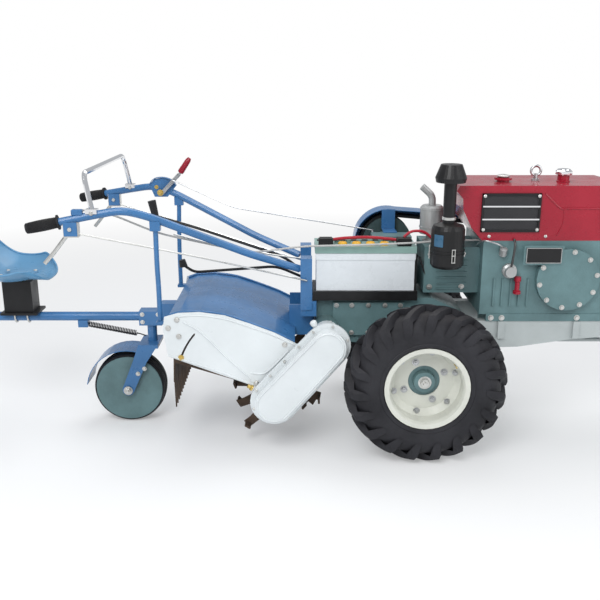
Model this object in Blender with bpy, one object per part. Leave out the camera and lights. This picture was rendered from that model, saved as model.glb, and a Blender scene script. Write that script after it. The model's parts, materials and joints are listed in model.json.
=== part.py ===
"""Walking tractor: a two-wheel power tiller with diesel engine, rotary tiller, seat and tail wheel.

Units are metres, +Z is up and +X is the way it drives. All pieces hang from one empty on the
floor under the main axle, so the X values below are measured forward from that axle.
"""

import math

import bmesh
import bpy
from mathutils import Matrix, Vector

# Overall reach: the origin ends up midway between the two ends.
REAR_REACH = 2.00
FRONT_REACH = 1.14
AXLE_X = (REAR_REACH - FRONT_REACH) / 2

CLEAR = 0.0003  # gap left where two pieces touch

# Main wheels: 6.00-12 agricultural tyres on dished steel rims.
TYRE_R = 0.325
TYRE_HALF = 0.0825
TREAD_HALF = 0.395
RIM_R = 0.150
RIM_LIP_R = 0.169
RIM_HALF = 0.060
RIM_SHEET = 0.006
DISC_IN = 0.035
HUB_HOLE_R = 0.064
HUB_FLANGE_R = 0.105
HUB_FLANGE = 0.012
HUB_SLEEVE_R = 0.042
SHAFT_R = 0.022
AXLE_HOUSING_R = 0.070
AXLE_HOUSING_END = 0.225
HUB_SLEEVE_IN = 0.262

# Gearbox
GEARBOX_HALF = 0.120
GEARBOX_TOP = 0.600
GEARBOX_REAR = -0.430
CLUTCH_X = -0.098
CLUTCH_Z = 0.770
CLUTCH_HOUSING_R = 0.055

# Belt drive on the left side
BELT_IN = 0.245
BELT_OUT = 0.312
CLUTCH_PULLEY_R = 0.112
ENGINE_PULLEY_R = 0.085
FLYWHEEL_R = 0.215
BELT_THICK = 0.012
CRANK_X = 0.600
CRANK_Z = 0.735
GUARD_GAP = 0.026
GUARD_SHEET = 0.003
GUARD_OUT = 0.322

# Engine and its frame
RAIL_Y = 0.150
RAIL_HALF = 0.021
RAIL_TOP = 0.515
RAIL_FRONT_X = 1.050
RAIL_REAR_X = 0.190
ENGINE_X0 = 0.250
ENGINE_X1 = 0.950
ENGINE_HALF = 0.172
ENGINE_TOP = 0.858
HOOD_X1 = 0.875
HOOD_TOP = 1.082
HOOD_SHEET = 0.004
WELL_HALF = 0.130  # open well under the hood, which brings the block to the engine's real mass
WELL_FLOOR = 0.600
HEAD_X0 = 0.020
HEAD_TOP = 0.820
HEAD_HALF = 0.120

# Battery on top of the gearbox
BATTERY_X0 = -0.437
BATTERY_X1 = -0.017
BATTERY_Y0 = -0.150
BATTERY_Y1 = 0.030
BATTERY_Z0 = 0.640
BATTERY_TOP = 0.800
LID_LIP = 0.006
LID_HEIGHT = 0.028

# Handlebars: one table of points for the right one, mirrored for the left one.
BAR_R = 0.0155
BAR_POINTS = [  # x forward, y outward, z up
    (-1.530, 0.386, 0.950),
    (-1.290, 0.352, 0.994),
    (-1.180, 0.338, 1.012),
    (-1.085, 0.318, 0.984),
    (-0.700, 0.190, 0.806),
    (-0.500, 0.131, 0.730),
]
THROTTLE_X = -1.348
GRIP_R = 0.0205
GRIP_LENGTH = 0.115
QUADRANT_DROP = 0.050  # the clutch lever's fan hangs beside its bar by this much
HOOP_R = 0.010
HOOP_X = -1.290
HOOP_TOP = 1.152
HOOP_LEAN = -0.026
HANDLE_FRAME_X0 = -0.497
HANDLE_FRAME_X1 = -0.449
HANDLE_FRAME_TOP = 0.780
HANDLE_BEAM_TOP = 0.598

# Rotary tiller
TILLER_HALF = 0.330
SIDE_SHEET = 0.004
ROTOR_X = -0.604
ROTOR_Z = 0.228
ROTOR_R = 0.198
ROTOR_HALF = 0.296
ROTOR_SHAFT_R = 0.024
BLADE_ROWS = 6
BLADES_PER_ROW = 3
DRIVE_X = -0.388
DRIVE_Z = 0.470
CHAIN_R_TOP = 0.092
CHAIN_R_LOW = 0.098
CHAIN_IN = 0.346
CHAIN_DEPTH = 0.052
CHAIN_FLANGE = 0.012
COVER_PIVOT_X = -0.677
COVER_PIVOT_Z = 0.300
COVER_ARM_Y = 0.318
COVER_SHEET = 0.005
COVER_TIPS_Z = 0.180
COMB_TEETH = 16
CROSSBAR_X = -1.018
CROSSBAR_Z = 0.545
CROSSBAR_R = 0.011
LUG_X = -1.064
LUG_Y = 0.285
LUG_TOP = 0.553

# Seat, tail beam and tail wheel
BEAM_Z = 0.483
BEAM_R = 0.020
BEAM_REAR_X = -1.900
BLOCK_X0 = -1.205
BLOCK_X1 = -1.105
STEER_X = -1.155
LEG_R = 0.019
LEG_LOW = 0.372
TAIL_X = -1.262
TAIL_R = 0.160
TAIL_HALF = 0.048
TAIL_RIM_R = 0.110
FORK_Y = 0.064
FORK_SHEET = 0.008
FENDER_GAP = 0.022
SEAT_X0 = -2.000
SEAT_X1 = -1.572
SEAT_HALF = 0.205
SEAT_FRONT_Z = 0.690
SEAT_DISH = 0.028
SEAT_SHEET = 0.012

# Front stand
STAND_X = 0.900
STAND_Z = 0.405
STAND_LENGTH = 0.300
STAND_HALF = 0.090
STAND_R = 0.009
PIN_SEGMENTS = 24  # fine enough that the pin's corners clear the flats of its hole at any angle


def clear_scene():
    for item in list(bpy.data.objects):
        bpy.data.objects.remove(item, do_unlink=True)


def paint(name, colour, roughness, metallic):
    material = bpy.data.materials.new(name)
    material.use_nodes = True
    shader = material.node_tree.nodes["Principled BSDF"]
    shader.inputs["Base Color"].default_value = (*colour, 1.0)
    shader.inputs["Roughness"].default_value = roughness
    shader.inputs["Metallic"].default_value = metallic
    material.diffuse_color = (*colour, 1.0)
    return material


def place(name, bm, finish, origin=(0.0, 0.0, 0.0)):
    """Turn a bmesh in frame coordinates into an object whose own origin is `origin`."""
    bmesh.ops.recalc_face_normals(bm, faces=bm.faces)
    bmesh.ops.translate(bm, verts=bm.verts, vec=-Vector(origin))
    mesh = bpy.data.meshes.new(name)
    bm.to_mesh(mesh)
    bm.free()
    item = bpy.data.objects.new(name, mesh)
    bpy.context.scene.collection.objects.link(item)
    item.location = origin
    item.parent = ROOT
    finish_object(item, finish)
    return item


def finish_object(item, finish):
    colour, roughness, metallic = FINISHES[finish]
    item.data.materials.clear()
    item.data.materials.append(paint(item.name, colour, roughness, metallic))
    item.data.shade_smooth()
    item.data.set_sharp_from_angle(angle=math.radians(35))


def combine(target, others, operation="UNION"):
    """Boolean the other objects into the target, apply it and delete them."""
    for other in others:
        modifier = target.modifiers.new(operation, "BOOLEAN")
        modifier.operation = operation
        modifier.object = other
        modifier.solver = "EXACT"
        modifier.use_self = True
    bpy.context.view_layer.update()
    graph = bpy.context.evaluated_depsgraph_get()
    mesh = bpy.data.meshes.new_from_object(target.evaluated_get(graph))
    target.modifiers.clear()
    target.data = mesh
    for other in others:
        bpy.data.objects.remove(other, do_unlink=True)
    mesh.name = target.name
    finish = mesh.materials[0]
    mesh.materials.clear()
    mesh.materials.append(finish)
    for face in mesh.polygons:
        face.material_index = 0
    return target


def build(name, finish, shapes, cuts=(), origin=(0.0, 0.0, 0.0)):
    """One object from a list of bmesh shapes that overlap, less a list of cutting shapes."""
    main = place(name, shapes[0], finish, origin)
    more = [place(f"{name}_add{i}", shape, finish, origin) for i, shape in enumerate(shapes[1:])]
    if more:
        combine(main, more)
    less = [place(f"{name}_cut{i}", shape, finish, origin) for i, shape in enumerate(cuts)]
    if less:
        combine(main, less, "DIFFERENCE")
    return main


def block(x0, x1, y0, y1, z0, z1, bevel=0.0):
    bm = bmesh.new()
    bmesh.ops.create_cube(bm, size=1.0)
    bmesh.ops.scale(bm, verts=bm.verts, vec=(x1 - x0, y1 - y0, z1 - z0))
    bmesh.ops.translate(bm, verts=bm.verts, vec=((x0 + x1) / 2, (y0 + y1) / 2, (z0 + z1) / 2))
    if bevel:
        bmesh.ops.bevel(bm, geom=bm.edges[:], offset=bevel, segments=1, affect="EDGES")
    return bm


def prism(outline, y0, y1):
    """Extrude an (x, z) outline along Y."""
    bm = bmesh.new()
    low = [bm.verts.new((x, y0, z)) for x, z in outline]
    face = bm.faces.new(low)
    result = bmesh.ops.extrude_face_region(bm, geom=[face])
    moved = [v for v in result["geom"] if isinstance(v, bmesh.types.BMVert)]
    bmesh.ops.translate(bm, verts=moved, vec=(0, y1 - y0, 0))
    return bm


def arc(cx, cz, radius, start, end, steps):
    """Points on a circle in the XZ plane; angles in degrees from +X towards +Z."""
    points = []
    for i in range(steps + 1):
        angle = math.radians(start + (end - start) * i / steps)
        points.append((cx + radius * math.cos(angle), cz + radius * math.sin(angle)))
    return points


def turned(profile, centre, axis="Y", segments=32):
    """Spin a closed loop of (radius, along) points about an axis through `centre`."""
    bm = bmesh.new()
    rings = []
    for radius, along in profile:
        ring = []
        for i in range(segments):
            angle = 2 * math.pi * i / segments
            a = radius * math.cos(angle)
            b = radius * math.sin(angle)
            spot = {"X": (along, a, b), "Y": (a, along, b), "Z": (a, b, along)}[axis]
            ring.append(bm.verts.new(Vector(spot) + Vector(centre)))
        rings.append(ring)
    count = len(rings)
    for k in range(count):
        first, second = rings[k], rings[(k + 1) % count]
        for i in range(segments):
            j = (i + 1) % segments
            bm.faces.new((first[i], first[j], second[j], second[i]))
    bmesh.ops.remove_doubles(bm, verts=bm.verts, dist=0.00001)
    bmesh.ops.dissolve_degenerate(bm, dist=0.00001, edges=bm.edges)
    return bm


def rod(start, end, radius, sides=12, end_radius=None):
    """A straight round bar between two points."""
    start, end = Vector(start), Vector(end)
    bm = bmesh.new()
    tip = radius if end_radius is None else end_radius
    length = (end - start).length
    bmesh.ops.create_cone(
        bm, cap_ends=True, segments=sides, radius1=radius, radius2=tip, depth=length
    )
    turn = Vector((0, 0, 1)).rotation_difference(end - start).to_matrix().to_4x4()
    move = Matrix.Translation((start + end) / 2)
    bmesh.ops.transform(bm, matrix=move @ turn, verts=bm.verts)
    return bm


def rounded(points, radius, steps=4):
    """Replace each inner corner of a path by a short arc-like curve."""
    path = [Vector(points[0])]
    for before, corner, after in zip(points, points[1:-1], points[2:]):
        corner = Vector(corner)
        back = Vector(before) - corner
        ahead = Vector(after) - corner
        reach = min(radius, back.length * 0.45, ahead.length * 0.45)
        first = corner + back.normalized() * reach
        last = corner + ahead.normalized() * reach
        for i in range(steps + 1):
            t = i / steps
            path.append(first * (1 - t) ** 2 + corner * 2 * t * (1 - t) + last * t**2)
    path.append(Vector(points[-1]))
    return path


def pipe(points, radius, sides=10, bend=0.0, steps=4):
    """A round bar swept along a path."""
    path = rounded(points, bend, steps) if bend else [Vector(p) for p in points]
    bm = bmesh.new()
    rings = []
    across = None
    for i, point in enumerate(path):
        ahead = path[min(i + 1, len(path) - 1)] - path[max(i - 1, 0)]
        ahead.normalize()
        if across is None:
            across = ahead.orthogonal().normalized()
        across = (across - ahead * across.dot(ahead)).normalized()
        other = ahead.cross(across)
        ring = []
        for k in range(sides):
            angle = 2 * math.pi * k / sides
            spot = point + (across * math.cos(angle) + other * math.sin(angle)) * radius
            ring.append(bm.verts.new(spot))
        rings.append(ring)
    for first, second in zip(rings, rings[1:]):
        for k in range(sides):
            n = (k + 1) % sides
            bm.faces.new((first[k], first[n], second[n], second[k]))
    bm.faces.new(rings[0])
    bm.faces.new(rings[-1])
    return bm


def mirrored(points, side):
    """Give the outward Y of each point the sign of a side."""
    return [(x, side * y, z) for x, y, z in points]


SIDES = [("right", -1), ("left", 1)]


# Main wheels ---------------------------------------------------------------------------------


def make_wheel(side_name, side):
    centre = (0.0, side * TREAD_HALF, TYRE_R)
    tyre = [
        (RIM_R + CLEAR, 0.0505),
        (RIM_LIP_R + CLEAR, 0.0590),
        (0.200, 0.076),
        (0.245, TYRE_HALF),
        (0.290, 0.079),
        (0.312, 0.066),
        (TYRE_R - 0.002, 0.030),
    ]
    tyre = tyre + [(TYRE_R, 0.0)] + [(r, -a) for r, a in reversed(tyre)]
    place(f"{side_name}_tyre", turned(tyre, centre, segments=40), "tyre", centre)

    inner = RIM_R - RIM_SHEET
    disc = -DISC_IN
    rim = [
        (RIM_LIP_R, RIM_HALF + CLEAR),
        (RIM_LIP_R, RIM_HALF + RIM_SHEET),
        (RIM_R, RIM_HALF + RIM_SHEET / 2),
        (inner, RIM_HALF - 0.010),
        (inner, disc + 0.030),
        (0.120, disc + RIM_SHEET),
        (HUB_HOLE_R, disc + RIM_SHEET),
        (HUB_HOLE_R, disc),
        (0.122, disc),
        (inner, disc + 0.020),
        (inner, -RIM_HALF + 0.010),
        (RIM_R, -RIM_HALF - RIM_SHEET / 2),
        (RIM_LIP_R, -RIM_HALF - RIM_SHEET),
        (RIM_LIP_R, -RIM_HALF - CLEAR),
        (RIM_R, -0.0515),
        (RIM_R, 0.0515),
    ]
    rim = [(r, side * a) for r, a in rim]
    place(f"{side_name}_rim", turned(rim, centre, segments=40), "rim", centre)

    seat = TREAD_HALF - DISC_IN - CLEAR
    hub = [
        (0.0, seat + 0.030),
        (HUB_SLEEVE_R, seat + 0.026),
        (HUB_SLEEVE_R + 0.004, seat),
        (HUB_FLANGE_R, seat),
        (HUB_FLANGE_R, seat - HUB_FLANGE),
        (HUB_SLEEVE_R + 0.006, seat - HUB_FLANGE),
        (HUB_SLEEVE_R, HUB_SLEEVE_IN),
        (SHAFT_R, HUB_SLEEVE_IN),
        (SHAFT_R, AXLE_HOUSING_END + CLEAR),
        (0.0, AXLE_HOUSING_END + CLEAR),
    ]
    hub = [(r, side * a) for r, a in hub]
    shape = turned(hub, (0.0, 0.0, TYRE_R), segments=24)
    place(f"{side_name}_hub", shape, "grey_green", centre)


# Gearbox and belt drive ------------------------------------------------------------------------


def make_gearbox():
    outline = [
        (GEARBOX_REAR, 0.420),
        (GEARBOX_REAR, GEARBOX_TOP - 0.02),
        (GEARBOX_REAR + 0.02, GEARBOX_TOP),
        (0.060, GEARBOX_TOP),
        (RAIL_REAR_X - CLEAR, 0.540),
        (RAIL_REAR_X - CLEAR, 0.395),
        (0.130, 0.300),
    ]
    outline += arc(0.0, TYRE_R, 0.118, -20, -160, 8)
    outline += [(-0.140, 0.390)]
    body = prism(outline, -GEARBOX_HALF, GEARBOX_HALF)
    axle_half = AXLE_HOUSING_END
    axle = rod((0, -axle_half, TYRE_R), (0, axle_half, TYRE_R), AXLE_HOUSING_R, 24)
    flange_half = axle_half - 0.025
    flange = rod((0, -flange_half, TYRE_R), (0, flange_half, TYRE_R), AXLE_HOUSING_R + 0.022, 24)
    riser = block(CLUTCH_X - 0.085, CLUTCH_X + 0.085, 0.040, 0.138, GEARBOX_TOP - 0.08, CLUTCH_Z + 0.062)
    neck_in = (CLUTCH_X, 0.10, CLUTCH_Z)
    neck_out = (CLUTCH_X, BELT_IN - 0.003, CLUTCH_Z)
    neck = rod(neck_in, neck_out, CLUTCH_HOUSING_R, 20)
    drive = rod((DRIVE_X, -0.2, DRIVE_Z), (DRIVE_X, -0.1, DRIVE_Z), 0.058, 20)
    cover = block(-0.36, -0.06, -GEARBOX_HALF - 0.016, 0.0, 0.440, 0.585)
    build("gearbox", "grey_green", [body, axle, flange, riser, neck, drive, cover])


def pulley(radius, bore, grooves=3):
    """A grooved belt pulley as a closed profile between the two belt faces."""
    width = (BELT_OUT - BELT_IN) / grooves
    rim = []
    for g in range(grooves):
        left = BELT_IN + g * width
        rim.append((radius, left + 0.001))
        rim.append((radius - 0.011, left + width / 2))
    rim.append((radius, BELT_OUT - 0.001))
    return [(bore, BELT_IN + 0.001)] + rim + [(bore, BELT_OUT - 0.001)]


def make_belt_drive():
    profile = pulley(CLUTCH_PULLEY_R, 0.0)
    place("clutch_pulley", turned(profile, (CLUTCH_X, 0, CLUTCH_Z), segments=36), "dark_green")
    wheel_in = ENGINE_HALF + 0.012
    profile = [
        (0.0, ENGINE_HALF + CLEAR),
        (0.060, ENGINE_HALF + CLEAR),
        (0.060, wheel_in),
        (FLYWHEEL_R, wheel_in),
        (FLYWHEEL_R, wheel_in + 0.052),
        (ENGINE_PULLEY_R - 0.020, wheel_in + 0.052),
        (ENGINE_PULLEY_R - 0.020, BELT_IN + 0.001),
    ]
    profile += pulley(ENGINE_PULLEY_R, 0.0)[1:]
    place("flywheel", turned(profile, (CRANK_X, 0, CRANK_Z), segments=40), "dark_green")

    def loop(extra):
        """The belt line around both pulleys, `extra` outside their radii."""
        small, large = ENGINE_PULLEY_R + extra, CLUTCH_PULLEY_R + extra
        span = math.hypot(CRANK_X - CLUTCH_X, CRANK_Z - CLUTCH_Z)
        slope = math.degrees(math.atan2(CRANK_Z - CLUTCH_Z, CRANK_X - CLUTCH_X))
        lean = math.degrees(math.asin((large - small) / span))
        top, low = slope + 90 - lean, slope - 90 + lean
        points = arc(CRANK_X, CRANK_Z, small, top, low, 16)
        points += arc(CLUTCH_X, CLUTCH_Z, large, low + 360, top, 20)
        return points

    inner = 3 * CLEAR
    outer = prism(loop(inner + BELT_THICK), BELT_IN + 0.004, BELT_OUT - 0.004)
    core = prism(loop(inner), BELT_IN - 0.01, BELT_OUT + 0.01)
    build("drive_belts", "rubber", [outer], [core])

    reach = CLUTCH_PULLEY_R + BELT_THICK + GUARD_GAP
    low = CLUTCH_Z - 0.060
    front = CRANK_X - 0.240

    def guard_line(radius):
        points = [(CLUTCH_X - radius, low)]
        points += arc(CLUTCH_X, CLUTCH_Z, radius, 180, 76, 14)
        points += [(front, CRANK_Z + 0.150 + radius - reach)]
        return points

    outer_line = guard_line(reach + GUARD_SHEET)
    inner_line = guard_line(reach)
    band = prism(outer_line + list(reversed(inner_line)), BELT_IN - 0.03, GUARD_OUT)
    flange = prism(outer_line + list(reversed(guard_line(reach - 0.030))), GUARD_OUT - GUARD_SHEET, GUARD_OUT)
    tab_z = CLUTCH_Z + 0.062
    post = block(
        CLUTCH_X - 0.03, CLUTCH_X + 0.03, 0.212, BELT_IN - 0.014, tab_z + CLEAR,
        CLUTCH_Z + reach + 0.002,
    )
    bridge = block(
        CLUTCH_X - 0.03, CLUTCH_X + 0.03, 0.120, 0.222, tab_z + CLEAR, tab_z + 0.004
    )
    build("belt_guard", "blue", [band, flange, post, bridge])


# Engine and frame ------------------------------------------------------------------------------


def make_frame():
    for side_name, side in SIDES:
        outline = [
            (RAIL_REAR_X, 0.395),
            (0.42, 0.400),
            (0.62, 0.430),
            (RAIL_FRONT_X, 0.470),
            (RAIL_FRONT_X, RAIL_TOP),
            (RAIL_REAR_X, RAIL_TOP),
        ]
        y0, y1 = sorted((side * (RAIL_Y - RAIL_HALF), side * (RAIL_Y + RAIL_HALF)))
        rail = prism(outline, y0, y1)
        i0, i1 = sorted((side * (RAIL_Y - RAIL_HALF), side * 0.05))
        pad = block(RAIL_REAR_X, RAIL_REAR_X + 0.020, i0, i1, 0.400, 0.510)
        pads = [pad]
        for x in (0.345, 0.660):
            s0, s1 = sorted((side * (RAIL_Y + RAIL_HALF - 0.002), side * (RAIL_Y + RAIL_HALF + 0.012)))
            pads.append(block(x - 0.013, x + 0.013, s0, s1, 0.440, RAIL_TOP))
        c0, c1 = sorted((side * (RAIL_Y - 0.012), side * (RAIL_Y + 0.012)))
        cheek = prism(
            [(STAND_X - 0.022, STAND_Z - 0.014), (STAND_X + 0.022, STAND_Z - 0.014),
             (STAND_X + 0.030, 0.475), (STAND_X - 0.030, 0.475)],
            c0, c1,
        )
        hole_ends = (STAND_X, c0 - 0.01, STAND_Z), (STAND_X, c1 + 0.01, STAND_Z)
        hole = rod(*hole_ends, STAND_R + CLEAR, PIN_SEGMENTS)
        build(f"{side_name}_frame_rail", "light_grey", [rail, cheek] + pads, [hole])
    half = RAIL_Y + RAIL_HALF
    plate = block(RAIL_FRONT_X + CLEAR, RAIL_FRONT_X + 0.014, -half, half, 0.450, 0.560)
    hook = block(RAIL_FRONT_X + 0.010, FRONT_REACH, -0.110, 0.110, 0.455, 0.475)
    lip = block(FRONT_REACH - 0.014, FRONT_REACH, -0.110, 0.110, 0.455, 0.535)
    build("front_bumper", "light_grey", [plate, hook, lip])


def make_engine():
    half = ENGINE_HALF
    feet = RAIL_TOP + CLEAR
    outline = [
        (ENGINE_X0, feet + 0.030),
        (ENGINE_X0, ENGINE_TOP),
        (ENGINE_X1 - 0.10, ENGINE_TOP),
        (ENGINE_X1, ENGINE_TOP - 0.09),
        (ENGINE_X1, feet + 0.030),
    ]
    body = prism(outline, -half, half)
    sump = block(ENGINE_X0 + 0.06, ENGINE_X1 - 0.08, -0.105, 0.105, 0.440, feet + 0.060)
    foot = block(ENGINE_X0 + 0.03, ENGINE_X1 - 0.05, -half - 0.003, half + 0.003, feet, feet + 0.032)
    head = block(HEAD_X0, ENGINE_X0 + 0.01, -HEAD_HALF, HEAD_HALF, 0.625, HEAD_TOP)
    case = prism(arc(0.600, 0.700, 0.130, 0, 345, 23), -half - 0.030, -half + 0.01)
    well = block(ENGINE_X0 + 0.05, ENGINE_X1 - 0.10, -WELL_HALF, WELL_HALF, WELL_FLOOR, ENGINE_TOP + 0.01)
    build("engine_block", "grey_green", [body, sump, foot, head, case], [well])

    low = ENGINE_TOP + CLEAR
    outline = [
        (0.243, low),
        (0.196, 0.912),
        (0.160, 0.985),
        (0.156, 1.030),
        (0.130, 1.060),
        (0.142, HOOD_TOP),
        (0.520, HOOD_TOP),
        (0.800, HOOD_TOP),
        (0.850, HOOD_TOP - 0.012),
        (HOOD_X1, HOOD_TOP - 0.050),
        (HOOD_X1, 0.930),
        (0.840, low),
    ]
    body = prism(outline, -half, half)
    rise = HOOD_TOP - 0.004
    cap = [(0.0, rise), (0.026, rise), (0.026, HOOD_TOP + 0.006), (0.036, HOOD_TOP + 0.008)]
    cap += [(0.036, HOOD_TOP + 0.016), (0.0, HOOD_TOP + 0.020)]
    sheet = HOOD_SHEET
    inside = [
        (0.243 + 2 * sheet, low - 0.010),
        (0.196 + 2 * sheet, 0.912),
        (0.160 + 2 * sheet, 0.985),
        (0.156 + 2 * sheet, 1.030),
        (0.148, 1.058),
        (0.150, HOOD_TOP - sheet),
        (0.798, HOOD_TOP - sheet),
        (0.848, HOOD_TOP - sheet - 0.012),
        (HOOD_X1 - sheet, HOOD_TOP - sheet - 0.050),
        (HOOD_X1 - sheet, 0.931),
        (0.838, low - 0.010),
    ]
    room = prism(inside, sheet - half, half - sheet)
    build("engine_hood", "red", [body, turned(cap, (0.345, -0.04, 0), "Z", 20)], [room])

    y1 = -half - CLEAR
    frame = block(0.232, 0.470, y1 - 0.006, y1, 0.895, 1.052, 0.0)
    place("radiator_grille", frame, "black")

    top = HOOD_TOP + CLEAR
    cap = [(0.0, top), (0.034, top), (0.034, top + 0.020), (0.028, top + 0.030)]
    cap += [(0.028, top + 0.034), (0.024, top + 0.052), (0.0, top + 0.054)]
    place("fuel_cap", turned(cap, (0.595, -0.04, 0), "Z", 20), "chrome")
    stem = rod((0.485, -0.02, top), (0.485, -0.02, top + 0.030), 0.009, 12)
    foot = rod((0.485, -0.02, top), (0.485, -0.02, top + 0.008), 0.017, 6)
    ring = [(0.020 + 0.006 * math.cos(a), 0.006 * math.sin(a))
            for a in (math.radians(t) for t in range(0, 360, 45))]
    eye = turned(ring, (0.485, -0.02, top + 0.042), "Y", 20)
    build("lifting_eye", "steel", [stem, foot, eye])


def make_engine_fittings():
    cx, cy = 0.095, -0.215
    low = 0.760
    body = [(0.0, low), (0.058, low), (0.067, low + 0.012), (0.067, 0.915), (0.060, 0.932)]
    body += [(0.026, 0.941), (0.0, 0.941)]
    can = turned(body, (cx, cy, 0), "Z", 28)
    stub = rod((cx, cy, low + 0.035), (cx, -HEAD_HALF - CLEAR, low + 0.035), 0.024, 14)
    build("air_cleaner", "black", [can, stub])
    base = 0.941 + CLEAR
    cap = [(0.0, base), (0.025, base), (0.025, 1.098), (0.058, 1.102), (0.062, 1.120)]
    cap += [(0.042, 1.172), (0.0, 1.176)]
    place("air_precleaner", turned(cap, (cx, cy, 0), "Z", 28), "black")

    mx, my = 0.062, 0.0
    foot = HEAD_TOP + CLEAR
    can = [(0.0, foot), (0.036, foot), (0.036, foot + 0.008), (0.020, foot + 0.008)]
    can += [(0.020, 0.850), (0.049, 0.856), (0.049, 0.968), (0.040, 0.977), (0.0, 0.977)]
    body = turned(can, (mx, my, 0), "Z", 28)
    outlet = pipe(
        [(mx, my, 0.970), (mx, my, 1.015), (mx - 0.045, my, 1.055)], 0.015, 12, 0.020
    )
    build("muffler", "steel", [body, outlet])


def make_battery():
    x0, x1, y0, y1 = BATTERY_X0, BATTERY_X1, BATTERY_Y0, BATTERY_Y1
    body = block(x0 + LID_LIP, x1 - LID_LIP, y0 + LID_LIP, y1 - LID_LIP, BATTERY_Z0, BATTERY_TOP - CLEAR)
    place("battery", body, "white")
    top = BATTERY_TOP + LID_HEIGHT
    lid = block(x0, x1, y0, y1, BATTERY_TOP, top)
    posts = []
    for x in (x0 + 0.045, x1 - 0.050):
        posts.append(block(x - 0.024, x + 0.024, y0 + 0.02, y0 + 0.06, top - 0.004, top + 0.026))
    for i in range(6):
        x = x0 + 0.095 + i * 0.046
        posts.append(rod((x, -0.06, top - 0.004), (x, -0.06, top + 0.012), 0.012, 12))
    build("battery_lid", "grey_green", [lid] + posts)
    gap = CLEAR
    floor = BATTERY_Z0 - gap
    tray = block(x0 - 0.008, x1 + 0.008, y0 - 0.008, y1 + 0.004, GEARBOX_TOP + gap, floor)
    place("battery_tray", tray, "black")
    rise = top + 0.026 + CLEAR
    lead = [
        (x1 - 0.050, y0 + 0.045, rise + 0.006),
        (x1 - 0.020, y0 + 0.050, rise + 0.030),
        (x1 + 0.030, y0 + 0.055, rise + 0.030),
        (x1 + 0.080, y0 + 0.060, 0.845),
        (x1 + 0.080, y0 + 0.060, HEAD_TOP + CLEAR),
    ]
    place("battery_lead", pipe(lead, 0.006, 8, 0.03), "red")


# Handlebars and controls -------------------------------------------------------------------------


def make_handles():
    shapes = []
    for side in (-1, 1):
        y0, y1 = sorted((side * 0.100, side * 0.165))
        shapes.append(block(HANDLE_FRAME_X0, HANDLE_FRAME_X1, y0, y1, 0.560, HANDLE_FRAME_TOP))
    bar = block(HANDLE_FRAME_X0, GEARBOX_REAR - CLEAR, -0.160, 0.160, DRIVE_Z + 0.062, HANDLE_BEAM_TOP)
    build("handle_frame", "blue", [bar] + shapes)
    for side_name, side in SIDES:
        points = mirrored(BAR_POINTS, side)
        bar_shape = pipe(points, BAR_R, 12, 0.045)
        start_cut = block(HANDLE_FRAME_X0 - CLEAR, -0.30, *sorted((0.0, side * 0.4)), 0.4, 1.1)
        shapes = [bar_shape]
        if side < 0:
            spot = bar_point(THROTTLE_X, side)
            base = spot.z + BAR_R - 0.004
            shapes.append(
                block(
                    spot.x - 0.018, spot.x + 0.024, spot.y - 0.012, spot.y + 0.012, base, base + 0.024,
                    0.004,
                )
            )
        build(f"{side_name}_handlebar", "blue", shapes, [start_cut])
        tip = Vector(points[0])
        ahead = (Vector(points[1]) - tip).normalized()
        sleeve = rod(tip - ahead * 0.006, tip + ahead * GRIP_LENGTH, GRIP_R, 16, GRIP_R - 0.002)
        ring = rod(
            tip + ahead * (GRIP_LENGTH - 0.002), tip + ahead * (GRIP_LENGTH + 0.006), GRIP_R + 0.008, 16
        )
        bore = rod(tip - ahead * CLEAR, tip + ahead * (GRIP_LENGTH + 0.05), BAR_R + CLEAR, 16)
        build(f"{side_name}_grip", "black", [sleeve, ring], [bore])


def make_hoop():
    side_y = 0.352
    foot_z = 0.994 + BAR_R - 0.008
    half = side_y - 0.010
    points = [
        (HOOP_X, -side_y, foot_z + 0.012),
        (HOOP_X + HOOP_LEAN, -half, HOOP_TOP),
        (HOOP_X + HOOP_LEAN, half, HOOP_TOP),
        (HOOP_X, side_y, foot_z + 0.012),
    ]
    arch = pipe(points, HOOP_R, 12, 0.040, 5)
    feet = [
        block(HOOP_X - 0.022, HOOP_X + 0.022, *sorted((s * 0.334, s * 0.370)), foot_z, foot_z + 0.018)
        for _, s in SIDES
    ]
    build("handle_hoop", "chrome", [arch] + feet, [around_bar(side) for _, side in SIDES])


def around_bar(side):
    """Cutter that leaves room for the handlebar in what is clamped to it."""
    return pipe(mirrored(BAR_POINTS, side), BAR_R + 2 * CLEAR, 12, 0.045)


def bar_point(x, side):
    """A point on the handlebar's centre line at a given x."""
    for a, b in zip(BAR_POINTS, BAR_POINTS[1:]):
        if a[0] <= x <= b[0]:
            t = (x - a[0]) / (b[0] - a[0])
            return Vector((x, side * (a[1] + t * (b[1] - a[1])), a[2] + t * (b[2] - a[2])))
    return Vector(mirrored(BAR_POINTS, side)[-1])


def make_steering_levers():
    for side_name, side in SIDES:
        spot = bar_point(-1.372, side)
        low = spot.z - BAR_R - CLEAR
        y0, y1 = spot.y - 0.016, spot.y + 0.016
        bracket = block(spot.x - 0.026, spot.x + 0.030, y0, y1, low - 0.050, low + 0.008)
        finger = pipe(
            [
                (spot.x - 0.010, spot.y, low - 0.036),
                (spot.x - 0.040, spot.y, low - 0.072),
                (spot.x - 0.065, spot.y + side * 0.01, low - 0.105),
                (spot.x - 0.105, spot.y + side * 0.02, low - 0.150),
            ],
            0.008, 10, 0.03,
        )
        build(f"{side_name}_steering_lever", "grey_green", [bracket, finger], [around_bar(side)])


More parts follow.
